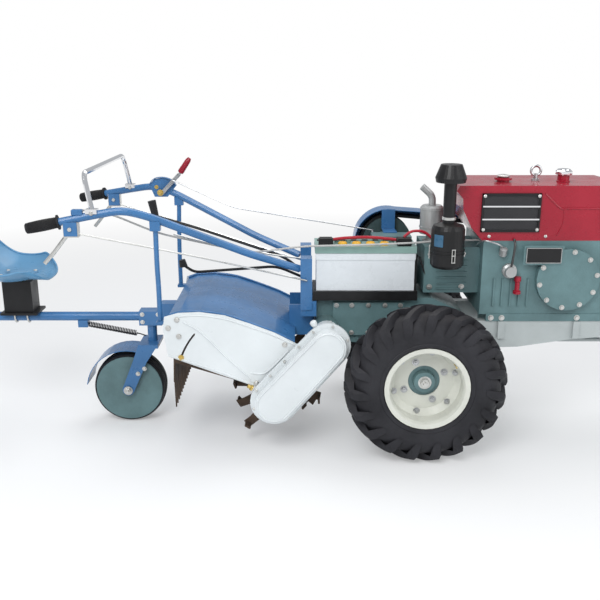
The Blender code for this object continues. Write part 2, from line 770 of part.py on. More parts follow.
def make_levers():
    side = 1
    spot = bar_point(-1.140, side)
    base = spot.z + BAR_R - QUADRANT_DROP
    plate_y = spot.y - BAR_R - 0.008
    fan = [(spot.x - 0.030, base), (spot.x - 0.052, base + 0.055)]
    fan += [(spot.x - 0.030, base + 0.082), (spot.x + 0.010, base + 0.088), (spot.x + 0.050, base + 0.076)]
    fan += [(spot.x + 0.070, base + 0.050), (spot.x + 0.030, base)]
    plate = prism(fan, plate_y - 0.003, plate_y + 0.003)
    grasp = BAR_R + 0.008
    foot = block(
        spot.x - 0.022, spot.x + 0.022, plate_y - 0.002, spot.y + grasp, spot.z - grasp, spot.z + grasp
    )
    pin = rod((spot.x, plate_y - 0.016, base + 0.022), (spot.x, plate_y, base + 0.022), 0.006, 10)
    build("clutch_quadrant", "blue", [plate, foot, pin], [around_bar(side)])
    y = plate_y - 0.016 - CLEAR - 0.004
    lever = [
        (spot.x - 0.012, base + 0.012),
        (spot.x + 0.012, base + 0.012),
        (spot.x + 0.096, base + 0.100),
        (spot.x + 0.082, base + 0.110),
    ]
    arm = prism(lever, y - 0.003, y + 0.004)
    tip = Vector((spot.x + 0.090, y, base + 0.106))
    ahead = Vector((0.55, 0.0, 0.80)).normalized()
    stem = rod(tip - ahead * 0.015, tip + ahead * 0.012, 0.006, 10)
    grip = rod(tip + ahead * 0.010, tip + ahead * 0.085, 0.011, 12, 0.009)
    build("clutch_lever", "steel", [arm, stem, grip])
    pull = pipe(
        [(spot.x + 0.060, y - 0.010, base + 0.080), (-0.80, 0.215, 0.930), (-0.170, 0.200, 0.830)],
        0.003, 8, 0.05,
    )
    eye_x, eye_z = spot.x + 0.060, base + 0.080
    link = rod((eye_x, y - 0.012, eye_z), (eye_x, y - 0.0035, eye_z), 0.006, 10)
    end = rod((-0.170, 0.202, 0.831), (-0.170, 0.1415, 0.800), 0.005, 8)
    build("clutch_rod", "steel", [pull, link, end])

    stick = pipe(
        [
            (-0.468, -0.050, HANDLE_BEAM_TOP + CLEAR), (-0.468, -0.050, 0.680), (-0.560, -0.045, 0.760),
            (-0.930, -0.020, 0.880), (-1.115, 0.0, 0.930),
        ],
        0.006, 10, 0.05,
    )
    knob = rod((-1.112, 0.0, 0.912), (-1.128, 0.0, 0.995), 0.014, 12, 0.018)
    build("gear_lever", "black", [stick, knob])
    stick = pipe(
        [
            (-0.468, 0.050, HANDLE_BEAM_TOP + CLEAR), (-0.468, 0.050, 0.640), (-0.600, 0.040, 0.700),
            (-0.960, 0.010, 0.680), (-1.006, 0.0, 0.716),
        ],
        0.006, 10, 0.04,
    )
    knob = rod((-1.004, 0.0, 0.708), (-1.010, 0.0, 0.738), 0.018, 12, 0.014)
    build("tiller_lever", "black", [stick, knob])

    spot = bar_point(THROTTLE_X, -1)
    base = spot.z + BAR_R
    cable = pipe(
        [
            (spot.x + 0.003, spot.y + 0.013, base + 0.011),
            (spot.x + 0.006, spot.y + 0.040, base + 0.011),
            (-1.240, -0.285, 0.990),
            (-1.060, -0.255, 0.905),
            (-0.700, -0.140, 0.800),
            (-0.490, -0.172, 0.835),
            (-0.200, -0.172, 0.842),
            (0.000, -0.150, 0.846),
            (0.110, -0.120, 0.850),
            (ENGINE_X0 - CLEAR, -0.120, 0.850),
        ],
        0.004, 8, 0.06,
    )
    place("throttle_cable", cable, "black")


def make_stays():
    for side_name, side in SIDES:
        spot = bar_point(-1.060, side)
        low = spot.z - BAR_R
        clamp = block(
            spot.x - 0.020, spot.x + 0.020, spot.y - 0.014, spot.y + 0.014, low - 0.030, low + 0.008
        )
        leg = pipe(
            [
                (spot.x, spot.y, low - 0.010),
                (LUG_X, side * 0.295, 0.780),
                (LUG_X, side * LUG_Y, 0.700),
                (LUG_X, side * LUG_Y, LUG_TOP + CLEAR),
            ],
            0.010, 10, 0.04,
        )
        build(f"{side_name}_handle_stay", "blue", [clamp, leg], [around_bar(side)])


# Rotary tiller ---------------------------------------------------------------------------------


def side_outline():
    return [
        (COVER_PIVOT_X, COVER_PIVOT_Z - 0.018),
        (-1.032, 0.415),
        (-1.048, 0.530),
        (-1.040, 0.582),
        (-0.985, 0.598),
        (-0.900, 0.602),
        (-0.800, 0.588),
        (-0.700, 0.554),
        (-0.600, 0.515),
        (-0.505, 0.465),
        (-0.520, 0.300),
        (-0.560, 0.268),
        (-0.640, 0.262),
    ]


def make_tiller_shell():
    for side_name, side in SIDES:
        y0, y1 = sorted((side * (TILLER_HALF - SIDE_SHEET), side * TILLER_HALF))
        plate = prism(side_outline(), y0, y1)
        slot_r = 0.322
        slot_out = arc(COVER_PIVOT_X, COVER_PIVOT_Z, slot_r + 0.004, 160, 139, 8)
        slot_in = arc(COVER_PIVOT_X, COVER_PIVOT_Z, slot_r - 0.004, 139, 160, 8)
        slot = prism(slot_out + slot_in, y0 - 0.01, y1 + 0.01)
        hole = rod((ROTOR_X, y0 - 0.01, ROTOR_Z), (ROTOR_X, y1 + 0.01, ROTOR_Z), 0.050, 16)
        build(f"{side_name}_tiller_side", "white", [plate], [slot, hole])

    hood_half = TILLER_HALF - SIDE_SHEET - CLEAR
    top = [
        (-1.036, 0.560), (-1.030, 0.574), (-0.985, 0.592), (-0.900, 0.596), (-0.800, 0.582), (-0.700, 0.548),
        (-0.600, 0.509), (-0.520, 0.467),
    ]
    under = [(x, z - 0.004) for x, z in reversed(top)]
    sheet = prism(top + under, -hood_half, hood_half)
    build("tiller_hood", "blue", [sheet])



def make_tiller_frame():
    half = TILLER_HALF - SIDE_SHEET - CLEAR
    x, z = -0.560, 0.460
    tube = rod((x, -half, z), (x, half, z), 0.020, 16)
    rear = GEARBOX_REAR - CLEAR
    arm = prism(
        [(-0.575, 0.442), (-0.480, 0.430), (rear, 0.425), (rear, 0.494), (-0.500, 0.494), (-0.512, 0.458),
         (-0.575, 0.464)],
        -0.085, 0.085,
    )
    build("tiller_frame", "blue", [tube, arm])


def make_chain_case():
    dx, dz = ROTOR_X - DRIVE_X, ROTOR_Z - DRIVE_Z
    heading = math.degrees(math.atan2(dz, dx))

    def capsule(extra):
        points = arc(DRIVE_X, DRIVE_Z, CHAIN_R_TOP + extra, heading + 270, heading + 90, 14)
        points += arc(ROTOR_X, ROTOR_Z, CHAIN_R_LOW + extra, heading + 90, heading - 90, 14)
        return points

    inner = -CHAIN_IN
    flange = prism(capsule(0.0), inner - CHAIN_FLANGE, inner)
    bulge = prism(capsule(-0.020), inner - CHAIN_DEPTH, inner - CHAIN_FLANGE + 0.002)
    neck = rod((DRIVE_X, inner - 0.001, DRIVE_Z), (DRIVE_X, -0.2 - CLEAR, DRIVE_Z), 0.056, 20)
    low = rod((ROTOR_X, inner - 0.001, ROTOR_Z), (ROTOR_X, -0.3265, ROTOR_Z), 0.046, 20)
    build("chain_case", "white", [flange, bulge, neck, low])
    plate = rod((ROTOR_X, TILLER_HALF + 0.0003, ROTOR_Z), (ROTOR_X, TILLER_HALF + 0.012, ROTOR_Z), 0.062, 20)
    boss = rod((ROTOR_X, 0.3265, ROTOR_Z), (ROTOR_X, TILLER_HALF + 0.024, ROTOR_Z), 0.045, 20)
    build("rotor_bearing", "grey_green", [plate, boss])


def make_rotor():
    half = 0.326
    shaft = rod((ROTOR_X, -half, ROTOR_Z), (ROTOR_X, half, ROTOR_Z), ROTOR_SHAFT_R, 16)
    blades = bmesh.new()
    for row in range(BLADE_ROWS):
        y = -ROTOR_HALF + 0.060 + row * (2 * ROTOR_HALF - 0.120) / (BLADE_ROWS - 1)
        hand = 1 if row % 2 else -1
        for k in range(BLADES_PER_ROW):
            turn = 2 * math.pi * (k / BLADES_PER_ROW + row / (BLADE_ROWS * BLADES_PER_ROW))
            outline = [
                (0.020, -0.009), (0.100, -0.022), (ROTOR_R - 0.040, -0.034),
                (ROTOR_R - 0.010, -0.046), (ROTOR_R - 0.004, -0.010), (0.120, 0.018), (0.020, 0.009),
            ]
            piece = prism(outline, -0.003, 0.003)
            tip = block(ROTOR_R - 0.018, ROTOR_R - 0.010, *sorted((0.0, hand * 0.050)), -0.040, -0.014)
            copy_into(piece, tip)
            spin = Matrix.Translation((ROTOR_X, y, ROTOR_Z)) @ Matrix.Rotation(turn, 4, "Y")
            bmesh.ops.transform(piece, matrix=spin, verts=piece.verts)
            copy_into(blades, piece)
    build("tiller_rotor", "steel", [shaft, blades], origin=(ROTOR_X, 0.0, ROTOR_Z))


def copy_into(target, source):
    """Add the faces of one bmesh to another and free the source."""
    made = {v: target.verts.new(v.co) for v in source.verts}
    for face in source.faces:
        target.faces.new([made[v] for v in face.verts])
    source.free()


def make_rear_cover():
    px, pz = COVER_PIVOT_X, COVER_PIVOT_Z
    half = COVER_ARM_Y + COVER_SHEET / 2
    shapes = []
    arm_line = [
        (px + 0.016, pz - 0.010), (px, pz + 0.018), (-0.990, 0.425), (-1.012, 0.410), (-1.005, 0.385),
        (px, pz - 0.018),
    ]
    for _, side in SIDES:
        y0, y1 = sorted((side * (COVER_ARM_Y - COVER_SHEET / 2), side * half))
        shapes.append(prism(arm_line, y0, y1))
        pin_out = TILLER_HALF - SIDE_SHEET - CLEAR
        shapes.append(rod((px, side * COVER_ARM_Y, pz), (px, side * pin_out, pz), 0.009, 12))
        bolt = arc(px, pz, 0.322, 160, 160, 1)[0]
        shapes.append(
            rod(
                (bolt[0], side * COVER_ARM_Y, bolt[1]), (bolt[0], side * (COVER_ARM_Y + 0.006), bolt[1]),
                0.006, 10,
            )
        )
    plate = prism(
        [(-1.012, 0.405), (-1.016, 0.300), (-1.010, 0.300), (-1.006, 0.405)], -half + 0.001, half - 0.001
    )
    teeth = bmesh.new()
    pitch = 2 * (half - 0.006) / COMB_TEETH
    for i in range(COMB_TEETH):
        y = -half + 0.006 + (i + 0.5) * pitch
        w = pitch * 0.40
        front = [(y - w, 0.305), (y + w, 0.305), (y + 0.003, COVER_TIPS_Z), (y - 0.003, COVER_TIPS_Z)]
        tooth = bmesh.new()
        near = [tooth.verts.new((-1.0155, a, b)) for a, b in front]
        face = tooth.faces.new(near)
        out = bmesh.ops.extrude_face_region(tooth, geom=[face])
        moved = [v for v in out["geom"] if isinstance(v, bmesh.types.BMVert)]
        bmesh.ops.translate(tooth, verts=moved, vec=(0.005, 0, 0))
        copy_into(teeth, tooth)
    build("rear_cover", "rust", [plate, teeth] + shapes, origin=(px, 0.0, pz))


# Seat and tail wheel -----------------------------------------------------------------------------


def make_tail_beam():
    x0, x1 = BLOCK_X0, BLOCK_X1
    beam = rod((BEAM_REAR_X, 0, BEAM_Z), (x0 + 0.02, 0, BEAM_Z), BEAM_R, 16)
    core = block(x0, x1, -0.032, 0.032, BEAM_Z - 0.034, BEAM_Z + 0.030)
    link = block(x1 - 0.004, CROSSBAR_X, -0.030, 0.030, BEAM_Z - 0.010, CROSSBAR_Z + 0.003)
    half = TILLER_HALF - SIDE_SHEET - CLEAR
    cross = rod((CROSSBAR_X, -half, CROSSBAR_Z), (CROSSBAR_X, half, CROSSBAR_Z), CROSSBAR_R, 14)
    lugs = [
        block(
            LUG_X - 0.014, CROSSBAR_X, *sorted((s * (LUG_Y - 0.015), s * (LUG_Y + 0.015))),
            LUG_TOP - 0.012, LUG_TOP,
        )
        for _, s in SIDES
    ]
    hanger = block(-1.478, -1.436, -0.018, 0.018, 0.436, BEAM_Z - BEAM_R + 0.005)
    sleeve = rod((STEER_X, 0, LEG_LOW), (STEER_X, 0, BEAM_Z - 0.030), LEG_R + 0.002, 18)
    build("seat_beam", "blue", [beam, core, link, cross, hanger, sleeve] + lugs)
    low = BEAM_Z + BEAM_R + CLEAR
    post = block(-1.785, -1.660, -0.045, 0.045, low, SEAT_FRONT_Z - SEAT_DISH - SEAT_SHEET - CLEAR)
    saddle = block(-1.800, -1.640, -0.060, 0.060, low, low + 0.010)
    build("seat_bracket", "black", [post, saddle])
    low_z = 0.400
    body = rod((-1.433, 0, 0.446), (-1.225, 0, low_z + 0.004), 0.0095, 12)
    wire_a = rod((-1.4350, 0, 0.4466), (-1.42, 0, 0.443), 0.003, 8)
    wire_b = rod((-1.235, 0, low_z + 0.006), (STEER_X - LEG_R - 0.0035, 0, low_z - 0.012), 0.003, 8)
    build("leg_spring", "black", [body, wire_a, wire_b])


def make_tail_wheel():
    centre = (TAIL_X, 0.0, TAIL_R)
    tread = [
        (TAIL_RIM_R + CLEAR, 0.040), (0.128, TAIL_HALF), (0.150, TAIL_HALF - 0.003),
        (TAIL_R, TAIL_HALF - 0.014),
    ]
    tread = tread + [(r, -a) for r, a in reversed(tread)]
    place("tail_tyre", turned(tread, centre, segments=36), "tyre", centre)
    disc = [
        (0.0, 0.052), (0.022, 0.052), (0.024, 0.046), (0.060, 0.040), (0.100, 0.040), (TAIL_RIM_R, 0.044),
    ]
    disc = disc + [(r, -a) for r, a in reversed(disc)]
    place("tail_rim", turned(disc, centre, segments=36), "grey_green", centre)

    origin = (STEER_X, 0.0, LEG_LOW)
    top = LEG_LOW - CLEAR
    fork_out = FORK_Y + FORK_SHEET
    crown = block(STEER_X - 0.052, STEER_X + 0.034, -fork_out, fork_out, top - 0.016, top)
    shapes = []
    for _, side in SIDES:
        y0, y1 = sorted((side * FORK_Y, side * (FORK_Y + FORK_SHEET)))
        blade = [
            (STEER_X + 0.034, top), (STEER_X - 0.052, top), (STEER_X - 0.078, 0.300),
            (TAIL_X - 0.026, TAIL_R + 0.006),
        ]
        blade += arc(TAIL_X, TAIL_R, 0.026, 180, 340, 6)
        blade += [(STEER_X - 0.020, 0.290)]
        shapes.append(prism(blade, y0, y1))
        axle_end = side * (0.052 + CLEAR)
        shapes.append(rod((TAIL_X, axle_end, TAIL_R), (TAIL_X, side * (FORK_Y + 0.022), TAIL_R), 0.012, 12))
    radius = TAIL_R + FENDER_GAP
    outer = arc(TAIL_X, TAIL_R, radius + 0.003, 62, 172, 12)
    inner = arc(TAIL_X, TAIL_R, radius, 172, 62, 12)
    half = FORK_Y + FORK_SHEET / 2
    shapes.append(prism(outer + inner, -half, half))
    build("tail_fork", "blue", [crown] + shapes, origin=origin)


def make_seat():
    """A pan seat: a dished sheet with a raised back, as one closed shell."""
    rows, columns = 9, 11
    bm = bmesh.new()
    top, low = [], []
    for i in range(rows):
        u = i / (rows - 1)
        top_row, low_row = [], []
        for j in range(columns):
            v = 2 * j / (columns - 1) - 1
            squeeze = 1 - 0.26 * abs(2 * u - 0.9) ** 3
            y = v * SEAT_HALF * squeeze
            x = SEAT_X1 + (SEAT_X0 - SEAT_X1) * u + 0.045 * (v**4) * (1 if u < 0.5 else -1) * -abs(2 * u - 1)
            x = max(min(x, SEAT_X1), SEAT_X0)
            rim = 0.055 * abs(v) ** 3
            back = 0.165 * max(0.0, u - 0.45) ** 2 / 0.3025
            lip = -0.030 * max(0.0, 0.12 - u) / 0.12
            z = SEAT_FRONT_Z - SEAT_DISH * math.sin(math.pi * min(u * 1.4, 1.0)) + rim + back + lip
            top_row.append(bm.verts.new((x, y, z)))
            low_row.append(bm.verts.new((x, y * 0.985, z - SEAT_SHEET)))
        top.append(top_row)
        low.append(low_row)
    for grid, flip in ((top, False), (low, True)):
        for i in range(rows - 1):
            for j in range(columns - 1):
                corners = [grid[i][j], grid[i][j + 1], grid[i + 1][j + 1], grid[i + 1][j]]
                bm.faces.new(reversed(corners) if flip else corners)
    border = [(0, j) for j in range(columns)]
    border += [(i, columns - 1) for i in range(1, rows)]
    border += [(rows - 1, j) for j in range(columns - 2, -1, -1)]
    border += [(i, 0) for i in range(rows - 2, 0, -1)]
    for (a, b), (c, d) in zip(border, border[1:] + border[:1]):
        bm.faces.new((top[a][b], low[a][b], low[c][d], top[c][d]))
    place("seat", bm, "blue")


def make_stand():
    origin = (STAND_X, 0.0, STAND_Z)
    end_x = STAND_X - STAND_LENGTH
    legs = pipe(
        [
            (STAND_X, -STAND_HALF, STAND_Z), (end_x, -STAND_HALF, STAND_Z),
            (end_x, STAND_HALF, STAND_Z), (STAND_X, STAND_HALF, STAND_Z),
        ],
        STAND_R, 10, 0.03,
    )
    pin_half = RAIL_Y + RAIL_HALF
    pin = rod((STAND_X, -pin_half, STAND_Z), (STAND_X, pin_half, STAND_Z), STAND_R, PIN_SEGMENTS)
    build("front_stand", "light_grey", [legs, pin], origin=origin)


FINISHES = {  # colour, roughness, metallic
    "blue": ((0.045, 0.165, 0.385), 0.35, 0.0),
    "white": ((0.78, 0.80, 0.81), 0.40, 0.0),
    "grey_green": ((0.115, 0.215, 0.225), 0.45, 0.0),
    "dark_green": ((0.035, 0.070, 0.075), 0.50, 0.0),
    "red": ((0.35, 0.006, 0.022), 0.30, 0.0),
    "light_grey": ((0.42, 0.46, 0.46), 0.50, 0.0),
    "rim": ((0.62, 0.62, 0.57), 0.45, 0.0),
    "tyre": ((0.022, 0.022, 0.026), 0.85, 0.0),
    "rubber": ((0.015, 0.015, 0.016), 0.80, 0.0),
    "black": ((0.012, 0.012, 0.013), 0.45, 0.0),
    "chrome": ((0.75, 0.76, 0.78), 0.12, 1.0),
    "steel": ((0.45, 0.46, 0.47), 0.40, 0.9),
    "rust": ((0.060, 0.040, 0.028), 0.80, 0.4),
}

clear_scene()
ROOT = bpy.data.objects.new("tractor", None)
ROOT.location = (AXLE_X, 0.0, 0.0)
bpy.context.scene.collection.objects.link(ROOT)
for wheel_name, wheel_side in SIDES:
    make_wheel(wheel_name, wheel_side)
make_gearbox()
make_belt_drive()
make_frame()
make_engine()
make_engine_fittings()
make_battery()
make_handles()
make_hoop()
make_steering_levers()
make_levers()
make_stays()
make_tiller_shell()
make_tiller_frame()
make_chain_case()
make_rotor()
make_rear_cover()
make_tail_beam()
make_tail_wheel()
make_seat()
make_stand()
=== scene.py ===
"""Looks of the walking tractor: finishes, tyre lugs, bolts, rods and small fittings on the CAD frame."""

import json
import math

import bmesh
import bpy
from mathutils import Matrix, Vector


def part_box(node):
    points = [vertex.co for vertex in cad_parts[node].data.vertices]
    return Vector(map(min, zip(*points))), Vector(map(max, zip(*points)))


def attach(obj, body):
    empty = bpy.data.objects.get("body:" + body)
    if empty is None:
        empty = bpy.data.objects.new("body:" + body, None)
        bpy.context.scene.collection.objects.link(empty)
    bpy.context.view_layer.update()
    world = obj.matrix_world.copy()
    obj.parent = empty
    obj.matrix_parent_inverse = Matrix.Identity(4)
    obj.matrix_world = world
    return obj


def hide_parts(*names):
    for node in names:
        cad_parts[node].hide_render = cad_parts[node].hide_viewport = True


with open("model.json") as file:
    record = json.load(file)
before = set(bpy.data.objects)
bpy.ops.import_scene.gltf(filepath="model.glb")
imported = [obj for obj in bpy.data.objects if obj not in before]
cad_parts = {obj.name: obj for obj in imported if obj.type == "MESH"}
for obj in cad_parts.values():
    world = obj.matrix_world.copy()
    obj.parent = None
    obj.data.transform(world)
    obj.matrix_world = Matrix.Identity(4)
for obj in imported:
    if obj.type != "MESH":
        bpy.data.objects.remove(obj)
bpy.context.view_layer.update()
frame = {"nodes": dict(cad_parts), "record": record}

# Main places, read from the frame -------------------------------------------------------------


def middle(node):
    low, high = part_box(node)
    return (Vector(low) + Vector(high)) / 2


def low_of(node):
    return Vector(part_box(node)[0])


def high_of(node):
    return Vector(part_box(node)[1])


AXLE = middle("left_tyre")
AX = AXLE.x
TYRE_R = (high_of("left_tyre").z - low_of("left_tyre").z) / 2
TYRE_HALF = (high_of("left_tyre").y - low_of("left_tyre").y) / 2
SIDES = [("right", -1), ("left", 1)]

# Materials --------------------------------------------------------------------------------------


class Nodes:
    """Short way to build a node tree."""

    def __init__(self, name):
        self.material = bpy.data.materials.new(name)
        self.material.use_nodes = True
        self.tree = self.material.node_tree
        self.shader = self.tree.nodes["Principled BSDF"]

    def add(self, kind, **settings):
        node = self.tree.nodes.new(kind)
        for key, value in settings.items():
            if hasattr(node, key):
                setattr(node, key, value)
            else:
                node.inputs[key.replace("_", " ")].default_value = value
        return node

    def link(self, start, end):
        self.tree.links.new(start, end)


def noise(n, scale, detail=6.0, rough=0.6, stretch=(1, 1, 1)):
    place = n.add("ShaderNodeTexCoord")
    mapping = n.add("ShaderNodeMapping")
    mapping.inputs["Scale"].default_value = stretch
    n.link(place.outputs["Object"], mapping.inputs["Vector"])
    texture = n.add("ShaderNodeTexNoise")
    texture.inputs["Scale"].default_value = scale
    texture.inputs["Detail"].default_value = detail
    texture.inputs["Roughness"].default_value = rough
    n.link(mapping.outputs["Vector"], texture.inputs["Vector"])
    return texture


def ramp(n, source, stops):
    node = n.add("ShaderNodeValToRGB")
    elements = node.color_ramp.elements
    while len(elements) < len(stops):
        elements.new(0.5)
    for element, (position, colour) in zip(elements, stops):
        element.position = position
        element.color = (*colour, 1.0) if len(colour) == 3 else colour
    n.link(source, node.inputs["Fac"])
    return node


def finish(name, colour, roughness, metallic=0.0, vary=0.10, grain=60.0, bump=0.08, coat=0.0,
           dust=0.0, wear=None, stretch=(1, 1, 1), rough_vary=0.12, shine=0.5):
    """A painted, cast, moulded or bare surface: colour mottling, roughness clouds, fine bump, dusty lows."""
    n = Nodes(name)
    clouds = noise(n, 5.0, 8.0, 0.62)
    dark = tuple(max(0.0, c * (1 - vary)) for c in colour)
    light = tuple(min(1.0, c * (1 + vary) + 0.004) for c in colour)
    base = ramp(n, clouds.outputs["Fac"], [(0.32, dark), (0.68, light)])
    out = base.outputs["Color"]
    if wear is not None:
        scuffs = noise(n, 70.0, 5.0, 0.75)
        mask = ramp(n, scuffs.outputs["Fac"], [(0.66, (0, 0, 0)), (0.72, (0.35, 0.35, 0.35))])
        mix = n.add("ShaderNodeMix", data_type="RGBA")
        n.link(mask.outputs["Color"], mix.inputs["Factor"])
        n.link(out, mix.inputs[6])
        mix.inputs[7].default_value = (*wear, 1.0)
        out = mix.outputs[2]
    if dust:
        geometry = n.add("ShaderNodeNewGeometry")
        split = n.add("ShaderNodeSeparateXYZ")
        n.link(geometry.outputs["Normal"], split.inputs["Vector"])
        patches = noise(n, 9.0, 9.0, 0.7)
        up = n.add("ShaderNodeMath", operation="MULTIPLY")
        n.link(split.outputs["Z"], up.inputs[0])
        n.link(patches.outputs["Fac"], up.inputs[1])
        mask = ramp(n, up.outputs["Value"], [(0.30, (0, 0, 0)), (0.80, (dust, dust, dust))])
        mix = n.add("ShaderNodeMix", data_type="RGBA")
        n.link(mask.outputs["Color"], mix.inputs["Factor"])
        n.link(out, mix.inputs[6])
        mix.inputs[7].default_value = (0.20, 0.18, 0.15, 1.0)
        out = mix.outputs[2]
    n.link(out, n.shader.inputs["Base Color"])
    smudge = noise(n, 14.0, 7.0, 0.65)
    lo = max(0.03, roughness - rough_vary)
    hi = min(1.0, roughness + rough_vary)
    rough = ramp(n, smudge.outputs["Fac"], [(0.3, (lo, lo, lo)), (0.7, (hi, hi, hi))])
    n.link(rough.outputs["Color"], n.shader.inputs["Roughness"])
    n.shader.inputs["Metallic"].default_value = metallic
    n.shader.inputs["Specular IOR Level"].default_value = shine
    n.shader.inputs["Coat Weight"].default_value = coat
    n.shader.inputs["Coat Roughness"].default_value = 0.08
    fine = noise(n, grain, 5.0, 0.6, stretch)
    bumped = n.add("ShaderNodeBump")
    bumped.inputs["Strength"].default_value = bump
    bumped.inputs["Distance"].default_value = 0.002
    n.link(fine.outputs["Fac"], bumped.inputs["Height"])
    n.link(bumped.outputs["Normal"], n.shader.inputs["Normal"])
    return n.material


BARE = (0.22, 0.23, 0.24)
M = {
    "blue": finish("blue_paint", (0.038, 0.150, 0.345), 0.32, vary=0.12, grain=35, bump=0.05, coat=0.25, dust=0.10,
                   wear=BARE, shine=0.4),
    "white": finish("white_paint", (0.66, 0.70, 0.715), 0.38, vary=0.05, grain=40, bump=0.05, coat=0.2, dust=0.08),
    "grey_green": finish("casting_paint", (0.108, 0.190, 0.200), 0.42, vary=0.22, grain=150, bump=0.45, dust=0.18,
                         wear=BARE, shine=0.4),
    "engine_paint": finish("engine_paint", (0.105, 0.188, 0.198), 0.42, vary=0.22, grain=150, bump=0.45, dust=0.15,
                           wear=BARE, shine=0.4),
    "dark_green": finish("dark_casting", (0.045, 0.080, 0.082), 0.45, vary=0.25, grain=160, bump=0.4, dust=0.15),
    "red": finish("red_paint", (0.300, 0.004, 0.020), 0.28, vary=0.10, grain=25, bump=0.04, coat=0.25, dust=0.06,
                  wear=(0.10, 0.08, 0.08), shine=0.35),
    "light_grey": finish("grey_paint", (0.40, 0.44, 0.44), 0.45, vary=0.10, grain=90, bump=0.20, dust=0.15, wear=BARE),
    "rim": finish("cream_paint", (0.60, 0.61, 0.55), 0.38, vary=0.09, grain=60, bump=0.10, dust=0.12, wear=BARE),
    "tyre": finish("tyre_rubber", (0.019, 0.019, 0.023), 0.62, vary=0.30, grain=220, bump=0.25, dust=0.16, shine=0.25),
    "rubber": finish("black_rubber", (0.012, 0.012, 0.013), 0.60, vary=0.3, grain=200, bump=0.25, dust=0.08, shine=0.25),
    "black": finish("black_paint", (0.010, 0.010, 0.011), 0.38, vary=0.3, grain=90, bump=0.12, dust=0.08, shine=0.3),
    "plastic": finish("battery_case", (0.66, 0.70, 0.73), 0.30, vary=0.05, grain=30, bump=0.04, dust=0.05),
    "lid": finish("battery_top", (0.21, 0.34, 0.31), 0.38, vary=0.12, grain=60, bump=0.10, dust=0.12),
    # The seat's paint is the same blue as the rest; this lighter copy is a painted sheen.
    "blue_painted_sheen": finish("seat_paint_painted_sheen", (0.095, 0.260, 0.440), 0.34, vary=0.12, grain=35, bump=0.05, coat=0.2, dust=0.10,
                        wear=BARE, shine=0.4),
    "pale_sheath": finish("pale_sheath", (0.42, 0.42, 0.41), 0.45, vary=0.12, grain=300, bump=0.12),
    "yellow": finish("yellow_plastic", (0.72, 0.40, 0.03), 0.35, vary=0.10, grain=60, bump=0.08),
    "cable": finish("cable_sheath", (0.025, 0.025, 0.026), 0.45, vary=0.3, grain=300, bump=0.15),
    "lead": finish("red_sheath", (0.42, 0.012, 0.030), 0.35, vary=0.15, grain=300, bump=0.12),
    "chrome": finish("chrome", (0.78, 0.79, 0.81), 0.12, metallic=1.0, vary=0.03, grain=40, bump=0.015, rough_vary=0.05),
    "steel": finish("bare_steel", (0.46, 0.47, 0.48), 0.36, metallic=0.95, vary=0.15, grain=120, bump=0.10, stretch=(1, 1, 6)),
    "zinc": finish("zinc_plate", (0.60, 0.60, 0.58), 0.34, metallic=0.85, vary=0.14, grain=90, bump=0.10),
    "silver_paint": finish("silver_paint", (0.40, 0.41, 0.41), 0.42, metallic=0.55, vary=0.12, grain=180, bump=0.3, dust=0.1),
    "rust": finish("rusty_steel", (0.075, 0.048, 0.032), 0.80, metallic=0.25, vary=0.55, grain=110, bump=0.8),
    "brass": finish("brass", (0.62, 0.45, 0.14), 0.32, metallic=0.9, vary=0.12, grain=90, bump=0.1),
}


def grille_material():
    """Black woven wire: a fine diamond mesh by two crossed waves."""
    n = Nodes("grille_mesh")
    coords = n.add("ShaderNodeTexCoord")
    heights = []
    for angle in (math.radians(45), math.radians(-45)):
        mapping = n.add("ShaderNodeMapping")
        mapping.inputs["Rotation"].default_value = (0.0, angle, 0.0)
        n.link(coords.outputs["Object"], mapping.inputs["Vector"])
        wave = n.add("ShaderNodeTexWave", wave_type="BANDS", bands_direction="X")
        wave.inputs["Scale"].default_value = 75.0
        n.link(mapping.outputs["Vector"], wave.inputs["Vector"])
        heights.append(wave.outputs["Fac"])
    both = n.add("ShaderNodeMath", operation="MAXIMUM")
    n.link(heights[0], both.inputs[0])
    n.link(heights[1], both.inputs[1])
    colour = ramp(n, both.outputs["Value"], [(0.45, (0.003, 0.003, 0.004)), (0.85, (0.045, 0.045, 0.050))])
    n.link(colour.outputs["Color"], n.shader.inputs["Base Color"])
    n.shader.inputs["Roughness"].default_value = 0.45
    bumped = n.add("ShaderNodeBump")
    bumped.inputs["Strength"].default_value = 0.9
    bumped.inputs["Distance"].default_value = 0.003
    n.link(both.outputs["Value"], bumped.inputs["Height"])
    n.link(bumped.outputs["Normal"], n.shader.inputs["Normal"])
    return n.material


M["grille"] = grille_material()

# Which finish each CAD node wears --------------------------------------------------------------

SLOT_OF = {part["node"]: part["material_slot"] for part in frame["record"]["subparts"]}
SPECIAL = {
    "left_steering_lever": "zinc",
    "right_steering_lever": "zinc",
    "radiator_grille": "grille",
    "muffler": "silver_paint",
    # The seat wears the lighter blue copy, a painted sheen.
    "seat": "blue_painted_sheen",
    "throttle_cable": "pale_sheath",
    "tiller_rotor": "rust",
}
for node_name, node_object in frame["nodes"].items():
    key = SPECIAL.get(node_name, SLOT_OF[node_name])
    node_object.data.materials.clear()
    node_object.data.materials.append(M[key])
    bevel = node_object.modifiers.new("soft_edges", "BEVEL")
    bevel.width = 0.0016
    bevel.segments = 2
    bevel.limit_method = "ANGLE"
    bevel.angle_limit = math.radians(40)
    bevel.use_clamp_overlap = True
    bevel.harden_normals = False

BODY_OF = {}
for body_name, body_nodes in frame["record"]["behaviour"]["bodies"].items():
    for node_name in body_nodes:
        BODY_OF[node_name] = body_name

# Mesh helpers ---------------------------------------------------------------------------------


